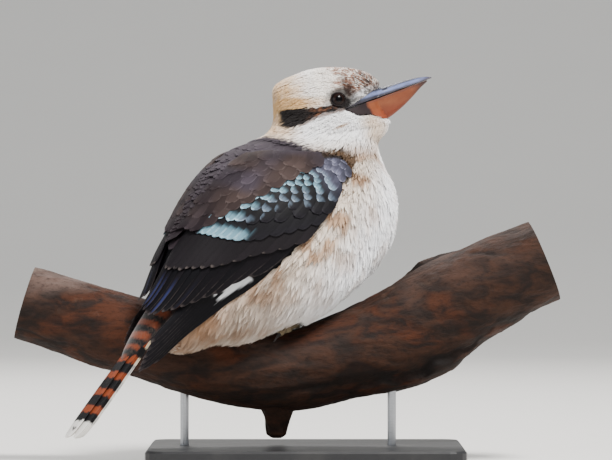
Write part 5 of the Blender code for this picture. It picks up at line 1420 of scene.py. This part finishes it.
# A toe's radius shrinks to its tip, waved by scutes and pads; the shank widens at its foot; a claw
# arches over the bark and shrinks to a point.
def makeFeet(finishSkin, finishClaw):
    rows, sides, clawRows, clawSides = (foot[key] for key in ("rows", "sides", "clawRows", "clawSides"))
    steps = np.linspace(0, 1, rows)
    scutes = 1 + 0.07 * np.abs(np.sin(steps * math.pi * foot["scutes"])) - 0.05
    pads = 1 + 0.10 * np.sin(steps * math.pi * 3 + 0.5) ** 2
    radii = foot["radius"] * (1.0 - 0.30 * steps) * scutes * pads
    radii = radii * np.sqrt(np.clip((1.02 - steps) / 0.06, 0.1, 1))
    heights = foot["radius"] * (0.95 - 0.25 * steps)
    lengths = np.linspace(0.0, foot["shank"], rows)
    wide = foot["shankRadius"] * (1 + 0.06 * np.abs(np.sin(lengths / foot["shankScute"] * math.pi)))
    wide = wide + 0.0008 * np.exp(-(lengths / 0.003) ** 2)
    along = np.linspace(-0.10, 1, clawRows)
    clawHeights = np.interp(along, np.linspace(0, 1, 5), foot["clawArch"]) * foot["radius"]
    clawRadii = foot["clawRadius"] * (1 - 0.80 * np.clip(along, 0, 1) ** 1.1) * np.where(along < 0, 0.9, 1)
    for name, (right, around) in foot["places"].items():
        rings = [tubePoints(onPerch(*toePath(name, toe, steps), heights), radii, sides) for toe in foot["toes"]]
        rings.append(tubePoints(onPerch(perchShare(right), around, lengths), wide, sides))
        strips = (np.arange(len(rings))[:, None, None] + np.linspace(0.02, 0.98, sides)[None, None]) / len(rings)
        piece = buildMesh("foot_" + name, np.stack(rings), tubeFaces(len(rings), rows, sides), finishSkin,
                          bakeMap=stacked(strips, np.linspace(0.01, 0.99, rows)[None, :, None]), sharp=None)
        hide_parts("leg_" + name)
        for toe in foot["toes"]:
            shares, turns = toePath(name, toe, np.ones(clawRows), along * foot["clawLength"])
            ring = tubePoints(onPerch(shares, turns, clawHeights), clawRadii, clawSides)
            claw = buildMesh("claw_shell_" + name + "_" + toe, ring, tubeFaces(1, clawRows, clawSides),
                             finishClaw, bakeMap=sheetMap(clawRows, clawSides), sharp=None)
            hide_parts("claw_" + name + "_" + toe)
    print("feet")


# Height of the bark over the perch chart and how deep its cracks are, with painted shadow along its plates'
# edges: lumps, long ridges, fibres and grain, raised plates with a band of painted shadow round them, and a calmer
# seat.
def barkHeight(share, around, flat):
    warped = flat + 0.004 * (noise(flat, 0.012, 6)[:, None] - 0.5) * np.array([0.0, 1.0, 1.0])
    lumps = noise(flat, 0.030, 1) - 0.5
    ridges = noise(warped * np.array([0.16, 1.0, 1.0]), 0.0048, 2) - 0.5
    fibres = noise(warped * np.array([0.2, 1.0, 1.0]), 0.0016, 3) - 0.5
    small = noise(flat, 0.0009, 4) - 0.5
    cracksAndShadow = 1 - smoothStep(0.02, 0.14, np.abs(noise(warped * np.array([0.13, 1, 1]), 0.0100, 7) - 0.5))
    cracksAndShadow = cracksAndShadow * smoothStep(0.58, 0.72, noise(flat, 0.030, 8)) * 0.7
    height = 0.0018 * lumps + 0.0011 * ridges + 0.00045 * fibres + 0.00022 * small - 0.0008 * cracksAndShadow
    height, cracksAndShadow = (part.reshape(perch["rings"], perch["sides"]) for part in (height, cracksAndShadow))
    for (start, end), (low, high), lifts in perch["plates"]:
        along = (perchStart + share * perchLength - start) / (end - start)
        turned = (around + 180 - (low + high) / 2) % 360 - 180
        turned = turned / ((high - low) / 2) + 0.12 * np.sin(share * 60) + 0.08 * np.sin(share * 150 + 2)
        lift = np.interp(along, np.linspace(0, 1, len(lifts) + 2), [0.0, *lifts, 0.0])
        edge = (1 - smoothStep(0.86, 0.98, np.abs(turned))) * smoothStep(0, 0.02, along)
        height = height + lift * (edge * (1 - smoothStep(0.98, 1.0, along))) * (1 - 0.15 * turned ** 2)
        # painted shadow: a band along each plate's edges, added to the crack mask and so painted near black
        plateShadow = smoothStep(0.80, 0.93, np.abs(turned)) * (1 - smoothStep(1.05, 1.25, np.abs(turned)))
        cracksAndShadow = np.maximum(cracksAndShadow, plateShadow * smoothStep(-0.05, 0.1, along) * (1 - smoothStep(0.9, 1.05, along)))
    middle, halfLength, halfTurn = perch["seat"]
    seat = np.exp(-((share * perchLength - middle) / halfLength) ** 2)
    seat = seat * np.exp(-(((around + 180) % 360 - 180) / halfTurn) ** 2)
    return height * (1 - 0.75 * seat) - 0.0003 * seat, cracksAndShadow


# Branch: the bark with a sawn, slightly dished cut at each end, and the broken twig below. Its place
# attribute is the share from a cut's middle to its edge, how clear the bark is of cracks and of the painted
# shadow along its plates' edges, and how much its top is painted lighter, as if lit from above.
def makeBranch(finish):
    rows, columns, cuts = perch["rings"], perch["sides"], perch["cut"]
    share = np.linspace(0, 1, rows)[:, None]
    around = np.linspace(0, 360, columns, endpoint=False)[None]
    height, cracksAndShadow = barkHeight(share, around, onPerch(share, around, 0.0).reshape(-1, 3))
    outer = onPerch(share, around, height)
    rings = [outer]
    for scale in cuts:
        for at, inward in ((0, 1), (-1, -1)):
            middle, _, way, _ = perchFrame(float(at == -1))
            rough = perch["cutRough"] * (noise(outer[at] * scale, 0.004, 9) - 0.5)[:, None]
            dished = rough + inward * perch["cutDish"] * (1 - scale)
            ring = middle + (outer[at] - middle) * scale + way * dished
            rings.insert(0 if at == 0 else len(rings), ring[None])
    total = rows + 2 * len(cuts)
    cut, whole, litTop = np.zeros((total, columns)), np.ones((total, columns)), np.zeros((total, columns))
    cut[:len(cuts)], cut[-len(cuts):] = np.array(cuts[::-1])[:, None], np.array(cuts)[:, None]
    whole[len(cuts):-len(cuts)] = 1 - cracksAndShadow
    litTop[len(cuts):-len(cuts)] = smoothStep(-0.1, 0.9, np.cos(np.radians(around))) * (
        1 - 0.7 * smoothStep(0.40, 0.62, share))
    piece = buildMesh("branch_bark", np.concatenate(rings), tubeFaces(1, total, columns), finish,
                      bakeMap=sheetMap(total, columns, 0.005)[..., ::-1], place=stacked(cut, whole, litTop))
    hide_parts("perch_branch")
    # the twig narrows downwards, with low waves round it and a rounded, broken end
    right, middleUp, wide, narrow, length = perch["stub"]
    rows, sides, sunk = 60, 72, 0.004
    steps = np.linspace(0, 1, rows)[:, None]
    turned = np.linspace(0, 2 * math.pi, sides, endpoint=False)[None]
    down = middleUp + length / 2 + sunk - (length + sunk) * steps
    radius = narrow + (wide - narrow) * (1 - smoothStep(0, 1, steps)) + 0.004 * np.exp(-steps / 0.12)
    radius = radius * (1 + 0.08 * np.sin(3 * turned + 4 * steps) + 0.05 * np.sin(7 * turned - 3 * steps))
    radius = radius * np.sqrt(np.clip((1.03 - steps) / 0.12, 0.05, 1))
    twig = stacked(right + radius * np.cos(turned), radius * np.sin(turned), down)
    bumps = (noise(twig.reshape(-1, 3) * np.array([1, 1, 0.4]), 0.003, 12) - 0.5).reshape(radius.shape) * 0.0016
    twig[..., 0] += bumps * np.cos(turned)
    twig[..., 1] += bumps * np.sin(turned)
    stub = buildMesh("branch_twig", twig, tubeFaces(1, rows, sides), finish,
                     bakeMap=stacked(steps, turned / 6.4), place=np.tile([0.0, 1.0, 0.0], (rows, sides, 1)))
    print("branch")


# Finishes. Each feather's finish reads its attributes: vane is the share along, the share across and a
# number of its own, place is metres along and across, and coat is its colour. A rim lies over the
# edges from rimFrom across and tipFrom along; gauge is the spacing of the barbs in metres.
# root is how much darker each feather is from its root up to the grown shares along: its own darker base, with
# painted shade under the feathers that lie over it
vaneLooks = {
    "soft": {"roughness": 0.85, "gloss": 0.2, "sheen": 0.10, "own": 0.30, "root": 0.20, "shaft": 0.05,
             "shaftWidth": 0.12, "rim": 0.30, "rimFrom": 0.50, "tipFrom": 0.75, "barb": 0.06, "gauge": 0.00042,
             "bump": 0.3, "dark": 0.76, "pale": 1.12, "grown": (0.1, 0.6)},
    "back": {"roughness": 0.8, "gloss": 0.12, "sheen": 0.0, "own": 0.55, "root": 0.7, "shaft": 0.5,
             "shaftWidth": 0.05, "rim": 0.35, "rimFrom": 0.84, "tipFrom": 0.92, "barb": 0.2, "gauge": 0.0005,
             "bump": 0.35, "dark": 0.45, "pale": 1.7, "grown": (0.3, 0.95)},
    "scapular": {"roughness": 0.78, "gloss": 0.12, "sheen": 0.0, "own": 0.6, "root": 0.75, "shaft": 0.5,
                 "shaftWidth": 0.04, "rim": 0.32, "rimFrom": 0.90, "tipFrom": 0.955, "barb": 0.25, "gauge": 0.0006,
                 "bump": 0.4, "dark": 0.42, "pale": 1.9, "grown": (0.45, 1.0)},
    "scaled": {"roughness": 0.62, "gloss": 0.18, "sheen": 0.0, "own": 0.55, "root": 1.0, "shaft": 0.5,
               "shaftWidth": 0.14, "rim": 0.7, "rimFrom": 0.84, "tipFrom": 0.955, "barb": 0.4, "gauge": 0.0007,
               "bump": 0.4, "dark": 0.24, "pale": 1.7, "grown": (0.50, 0.92)},
    "median": {"roughness": 0.6, "gloss": 0.18, "sheen": 0.0, "own": 0.35, "root": 0.9, "shaft": 0.7,
               "shaftWidth": 0.10, "rim": 0.5, "rimFrom": 0.76, "tipFrom": 0.96, "barb": 0.5, "gauge": 0.0009,
               "bump": 0.4, "dark": 0.3, "pale": 1.3, "grown": (0.55, 0.95)},
    "covert": {"roughness": 0.6, "gloss": 0.16, "sheen": 0.0, "own": 0.5, "root": 0.8, "shaft": 0.8,
               "shaftWidth": 0.045, "rim": 0.5, "rimFrom": 1.2, "tipFrom": 0.992, "barb": 0.25, "gauge": 0.0006,
               "bump": 0.45, "dark": 0.4, "rimTone": (112, 102, 98), "grown": (0.45, 0.95)},
    "flight": {"roughness": 0.5, "gloss": 0.1, "sheen": 0.0, "own": 0.35, "root": 0.3, "shaft": 0.8,
               "shaftWidth": 0.05, "rim": 0.35, "rimFrom": 0.93, "tipFrom": 0.985, "barb": 0.2, "gauge": 0.0007,
               "bump": 0.5, "dark": 0.5, "rimTone": (96, 86, 84), "grown": (0.2, 0.7)},
    "tail": {"roughness": 0.65, "gloss": 0.3, "sheen": 0.0, "own": 0.2, "root": 0.2, "shaft": 0.75,
             "shaftWidth": 0.055, "rim": 0.25, "rimFrom": 0.94, "tipFrom": 0.99, "barb": 0.2, "gauge": 0.0006,
             "bump": 0.45, "dark": 0.4, "pale": 1.3, "grown": (0.2, 0.7)},
}


def vaneFinish(key):
    look = vaneLooks[key]
    shop = Shop(key + "_plumage", Roughness=look["roughness"], Specular_IOR_Level=look["gloss"],
                Sheen_Weight=look["sheen"], Sheen_Roughness=0.6)
    along, across, own = shop.split(shop.attribute("vane"))
    metres, aside, _ = shop.split(shop.attribute("place"))
    half = abs(across)
    coat = shop.attribute("coat", "Color")
    dark = shop.toned(coat, look["dark"], 1.1)
    pale = tone(*look["rimTone"]) if "rimTone" in look else shop.toned(coat, look["pale"], 0.75)
    grain = shop.grain(shop.place(), 420.0, 3.0)
    colour = shop.mix(own * look["own"], coat, dark)
    # darker from the root to the grown shares: partly the feather's own darker base, partly painted shade where
    # the feathers over it lie
    root = (1 - along.above(*look["grown"])) * look["root"] * (0.7 + 0.5 * grain)
    colour = shop.mix(root, colour, dark)
    # barbs: fine lines that leave the middle slanting towards the tip
    barbs = ((metres - abs(aside) * 1.7 + grain * 0.00035) * (2 * math.pi / look["gauge"])).sine() * 0.5 + 0.5
    colour = shop.mix(barbs * look["barb"], colour, dark)
    rim = half.above(look["rimFrom"] - 0.08, look["rimFrom"] + 0.03)
    rim = rim.orMore(along.above(look["tipFrom"] - 0.04, look["tipFrom"] + 0.01))
    rim = rim * along.above(0.45, 0.85) * look["rim"] * grain.above(0.25, 0.6)
    colour = shop.mix(rim, colour, pale)
    shaft = (1 - half.above(look["shaftWidth"] * 0.4, look["shaftWidth"])) * (1 - along.above(0.86, 0.98))
    colour = shop.mix(shaft * look["shaft"], colour, dark)
    return shop.finish(colour, height=barbs * 0.5 + shaft * 0.8 + grain * 0.4, strength=look["bump"],
                       distance=0.00012)


def skinFinish():
    shop = Shop("skin_under_coat", Roughness=0.9, Specular_IOR_Level=0.2, Sheen_Weight=0.2)
    grain = shop.grain(shop.place((1.0, 1.0, 0.4)), 900.0, 3.0)
    colour = shop.mix(grain.above(0.40, 0.75) * 0.35, shop.attribute("coat", "Color"), tone(90, 74, 62))
    return shop.finish(colour, height=grain, strength=0.6, distance=0.0003)


# Bill: colour by the place along it, across and up, in its own frame
def billFinish(name):
    shop = Shop("bill_" + name + "_horn", Roughness=0.4, Specular_IOR_Level=0.3)
    place = shop.attribute("place")
    along, aside, up = shop.split(place)
    streaky = shop.grain(shop.join(along * 0.22, aside, up), 900.0, 5.0, 0.6)
    cloud = shop.grain(shop.join(along * 0.5, aside, up), 160.0, 3.0)
    pores = shop.grain(place, 2600.0, 2.0)
    if name == "upper":
        colour = shop.mix(cloud.above(0.35, 0.7) * 0.5, tone(*bill["slate"]), tone(74, 78, 96))
        # a pale blue band along the middle of the upper half: a painted sheen
        band = (1 - abs(up + along * 0.05 - 0.0046).above(0.0005, 0.0020)) * along.above(0.006, 0.016)
        colour = shop.mix(band * 0.7, colour, tone(*bill["sheen"]))
        colour = shop.mix(streaky.above(0.45, 0.75) * 0.55, colour, tone(36, 34, 40))
        # darker along the mouth's edge: partly the edge's own dark tone, partly painted shade where the halves
        # meet
        colour = shop.mix((1 - up.above(0.0006, 0.0020)) * 0.5, colour, tone(54, 44, 48))
        colour = shop.mix(along.above(0.052, 0.0635) * 0.7, colour, tone(*bill["tip"]))
        # the nostril's dent is painted near black: painted shade for its opening
        dent = (1 - abs(along - 0.0300).above(0.0014, 0.0026)) * (1 - abs(up - 0.0041).above(0.0004, 0.0011))
        colour = shop.mix(dent * 0.85, colour, tone(16, 13, 15))
        colour = shop.mix((1 - along.above(0.004, 0.012)) * 0.6, colour, tone(40, 34, 36))
    else:
        colour = shop.mix(cloud.above(0.35, 0.7) * 0.45, tone(*bill["horn"]), tone(*bill["paleHorn"]))
        colour = shop.mix(abs(up).above(0.0050, 0.0130) * 0.30, colour, tone(*bill["red"]))
        colour = shop.mix(streaky.above(0.5, 0.8) * 0.35, colour, tone(112, 58, 38))
        # darker along the mouth's edge: painted shade where the halves meet
        colour = shop.mix((1 - abs(up).above(0.0006, 0.0022)) * 0.6, colour, tone(96, 62, 54))
        colour = shop.mix(along.above(0.046, 0.058) * 0.8, colour, tone(*bill["tip"]))
        patch = 1 - (along + cloud * 0.006).above(0.0165, 0.0195)
        patch = patch * (1 - (abs(up) + cloud * 0.004).above(0.0105, 0.0130))
        colour = shop.mix(patch * 0.97, colour, tone(*bill["patch"]))
    return shop.finish(colour, streaky * 0.25 + 0.34, streaky * 0.8 + pores * 0.2, 0.35, 0.00018)


# Eye: a dark iris with rays round a pupil, by the angles from its middle and round it
def eyeFinish():
    shop = Shop("eye_glass", Roughness=0.25, Specular_IOR_Level=0.08, Coat_Weight=0.14, Coat_Roughness=0.03)
    polar, spin, _ = shop.split(shop.attribute("place"))
    rays = shop.join((spin * 1.0).sine() * 6.0, (spin + 1.5708).sine() * 6.0, polar * 0.6)
    iris = shop.mix(shop.grain(rays, 3.0, 4.0).above(0.3, 0.7), tone(*eye["iris"]), tone(30, 15, 10))
    iris = shop.mix(polar.above(0.60, 0.80), iris, tone(10, 7, 6))
    return shop.finish(shop.mix(polar.above(0.36, 0.41), tone(*eye["pupil"]), iris))


def lidFinish():
    shop = Shop("lid_skin", Roughness=0.7, Specular_IOR_Level=0.15)
    grain = shop.grain(shop.place(), 1500.0, 3.0)
    colour = shop.mix(grain.above(0.35, 0.7) * 0.6, tone(*eye["lid"]), tone(38, 30, 30))
    return shop.finish(colour, height=grain, strength=0.5, distance=0.0002)


def footFinish():
    shop = Shop("foot_scutes", Roughness=0.5, Specular_IOR_Level=0.4)
    place = shop.place()
    cells = shop.node("ShaderNodeTexVoronoi", {"feature": "DISTANCE_TO_EDGE"}, {"Vector": place, "Scale": 760.0})
    cloud = shop.grain(place, 260.0, 3.0)
    colour = shop.mix(cloud.above(0.3, 0.7) * 0.6, tone(*foot["skin"]), tone(112, 96, 76))
    seams = 1 - cells.above(0.02, 0.12)
    colour = shop.mix(seams * 0.7, colour, tone(58, 46, 38))
    return shop.finish(colour, 0.42 + seams * 0.3, cells.above(0.0, 0.25) + cloud * 0.3, 0.6, 0.00035)


def clawFinish():
    shop = Shop("claw_horn", Roughness=0.3, Specular_IOR_Level=0.55)
    grain = shop.grain(shop.place((0.5, 1.0, 1.0)), 900.0, 4.0)
    colour = shop.mix(grain.above(0.35, 0.75) * 0.6, tone(*foot["claw"]), tone(88, 78, 74))
    return shop.finish(colour, grain * 0.25 + 0.2, grain, 0.3, 0.0002)


# Bark: dark, with red-brown patches, a grey top painted lighter as if lit from above, with lichen, dark
# cracks with painted shadow along the plates' edges, and pale sawn ends
def barkFinish():
    shop = Shop("old_bark", Roughness=0.85, Specular_IOR_Level=0.25)
    place = shop.place((0.45, 1.0, 1.0))
    end, clearOfCracksAndShadow, litTop = shop.split(shop.attribute("place"))
    broad = shop.grain(shop.place((0.6, 1.0, 1.0)), 24.0, 3.0, 0.55, 0.6)
    middle = shop.grain(place, 95.0, 5.0, 0.62, 0.5)
    fine = shop.grain(place, 480.0, 5.0, 0.65)
    colour = shop.mix(middle.above(0.36, 0.66), tone(22, 12, 7), tone(52, 29, 16))
    colour = shop.mix(broad.above(0.50, 0.62) * 0.65 * middle.above(0.3, 0.6), colour, tone(74, 35, 13))
    # painted light: the top of the branch is painted paler grey, as if lit from above, away from the broad patches
    colour = shop.mix(litTop * (1 - broad.above(0.36, 0.60)) * 0.8, colour, tone(104, 84, 76))
    lichen = shop.grain(shop.place((0.8, 1.0, 1.0), (0.3, 0.1, 0.7)), 60.0, 4.0, 0.6)
    spots = lichen.above(0.60, 0.74) * fine.above(0.35, 0.5) * litTop * 0.6
    colour = shop.mix(spots, colour, tone(128, 112, 98))
    colour = shop.mix(fine.above(0.50, 0.70) * 0.6, colour, tone(20, 13, 10))
    # dark cracks, and the painted shadow along the plates' edges
    colour = shop.mix((1 - clearOfCracksAndShadow.above(0.10, 0.9)) * 0.75, colour, tone(12, 8, 7))
    # sawn ends: rings round the middle, fine rays, darker towards the bark
    rings = ((end * 46.0 + middle * 2.5) * 2.0).sine() * 0.5 + 0.5
    wood = shop.mix(rings * 0.5, tone(196, 162, 120), tone(150, 112, 76))
    wood = shop.mix(fine.above(0.5, 0.8) * 0.4, wood, tone(110, 80, 54))
    wood = shop.mix(end.above(0.84, 0.93), wood, tone(74, 50, 38))
    colour = shop.mix(end.above(0.02, 0.10), colour, wood)
    height = fine * 0.7 + middle * 0.9 - lichen.above(0.60, 0.66) * 0.1
    return shop.finish(colour, fine * 0.2 + 0.7, height, 0.85, 0.0012)


# Stand: painted base and brushed rods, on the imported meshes
def dressStand():
    shop = Shop("stand_paint", Roughness=0.4, Specular_IOR_Level=0.45)
    place = shop.place()
    peel, dust = shop.grain(place, 700.0, 2.0), shop.grain(place, 45.0, 4.0)
    colour = shop.mix(dust.above(0.45, 0.75) * 0.25, tone(34, 34, 36), tone(70, 68, 66))
    paint = shop.finish(colour, dust * 0.2 + 0.32, peel, 0.12, 0.0003)
    shop = Shop("stand_steel", Metallic=1.0, Roughness=0.3)
    brushed = shop.grain(shop.place((1.0, 1.0, 14.0)), 260.0, 3.0)
    colour = shop.mix(brushed, tone(150, 152, 156), tone(196, 198, 202))
    steel = shop.finish(colour, brushed * 0.25 + 0.2, brushed, 0.1, 0.0001)
    for name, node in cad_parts.items():
        if name.startswith("stand_"):
            for slot in node.material_slots:
                slot.material = paint if name == "stand_base" else steel
    print("stand")


# Floor, lights and camera: the photograph is square on, 0.7 mm to a pixel at the branch's middle
studio = {
    "pixel": 0.0007, "middle": (306, 230), "feetPixel": (270, 328), "distance": 2.5, "sensor": 36.0,
    # each light's name, place, size, power and colour
    "lights": (
        ("key", (0.75, -1.05, 2.05), (0.6, 0.6), 108.0, (1.0, 0.985, 0.965)),
        ("fill", (-1.5, -1.2, 0.8), (1.2, 1.2), 12.0, (0.92, 0.96, 1.0)),
        ("rim", (-0.4, 1.3, 1.5), (0.8, 0.5), 30.0, (1.0, 0.98, 0.96)),
    ),
    "aim": (0.0, 0.0, 0.16), "world": (0.90, 0.93, 0.96), "strength": 0.45, "floor": (232, 230, 226),
    # how far the floor reaches, where it bends up and how steeply
    "floorHalf": 6.0, "floorSteps": 41, "riseFrom": 2.2, "rise": 0.30,
}


def aimAt(piece, target):
    way = np.array(target) - np.array(piece.location)
    piece.rotation_euler = (math.atan2(math.hypot(way[0], way[1]), -way[2]), 0.0, math.atan2(-way[0], way[1]))


# Floor: a flat grid that rises at the back by the square of how far it lies behind the bend.
def makeFloor():
    count = studio["floorSteps"]
    steps = np.linspace(-1, 1, count) * studio["floorHalf"]
    behind = np.maximum(steps[None] - studio["riseFrom"], 0)
    grid = stacked(steps[:, None], steps[None], behind ** 2 * studio["rise"])
    mesh = bpy.data.meshes.new("floor")
    mesh.from_pydata(grid.reshape(-1, 3).tolist(), [], gridFaces(count, count)[:, ::-1].tolist())
    mesh.shade_smooth()
    shop = Shop("floor_paper", Roughness=0.8, Specular_IOR_Level=0.2)
    grain = shop.grain(shop.place(), 9.0, 2.0)
    mesh.materials.append(shop.finish(shop.mix(grain * 0.06, tone(*studio["floor"]), tone(180, 180, 180))))
    floor = bpy.data.objects.new("floor", mesh)
    bpy.context.scene.collection.objects.link(floor)


def makeStudio():
    makeFloor()
    for name, place, size, power, colour in studio["lights"]:
        light = bpy.data.lights.new(name, "AREA")
        light.shape, light.size, light.size_y = "RECTANGLE", *size
        light.energy, light.color = power, colour
        lamp = bpy.data.objects.new(name, light)
        lamp.location = place
        aimAt(lamp, studio["aim"])
        bpy.context.scene.collection.objects.link(lamp)
    world = bpy.data.worlds.new("studio")
    world.use_nodes = True
    background = world.node_tree.nodes["Background"]
    background.inputs["Color"].default_value = (*studio["world"], 1.0)
    background.inputs["Strength"].default_value = studio["strength"]
    bpy.context.scene.world = world
    camera = bpy.data.cameras.new("camera")
    camera.sensor_width = studio["sensor"]
    camera.lens = studio["sensor"] * studio["distance"] / (2 * studio["middle"][0] * studio["pixel"])
    up = feet[2] + (studio["feetPixel"][1] - studio["middle"][1]) * studio["pixel"]
    seat = bpy.data.objects.new("camera", camera)
    seat.location = (0.0, -studio["distance"], up)
    seat.rotation_euler = (math.pi / 2, 0.0, 0.0)
    bpy.context.scene.collection.objects.link(seat)
    bpy.context.scene.camera = seat
    print("studio")


finishes = {key: vaneFinish(key) for key in vaneLooks}
makeCoats(*makeSkin(skinFinish()), finishes)
for side in (1, -1):
    makeWing(side, finishes)
makeTail(finishes["tail"])
makeBill({name: billFinish(name) for name in bill["halves"]})
makeEyes(eyeFinish(), lidFinish())
makeFeet(footFinish(), clawFinish())
makeBranch(barkFinish())
dressStand()
makeStudio()
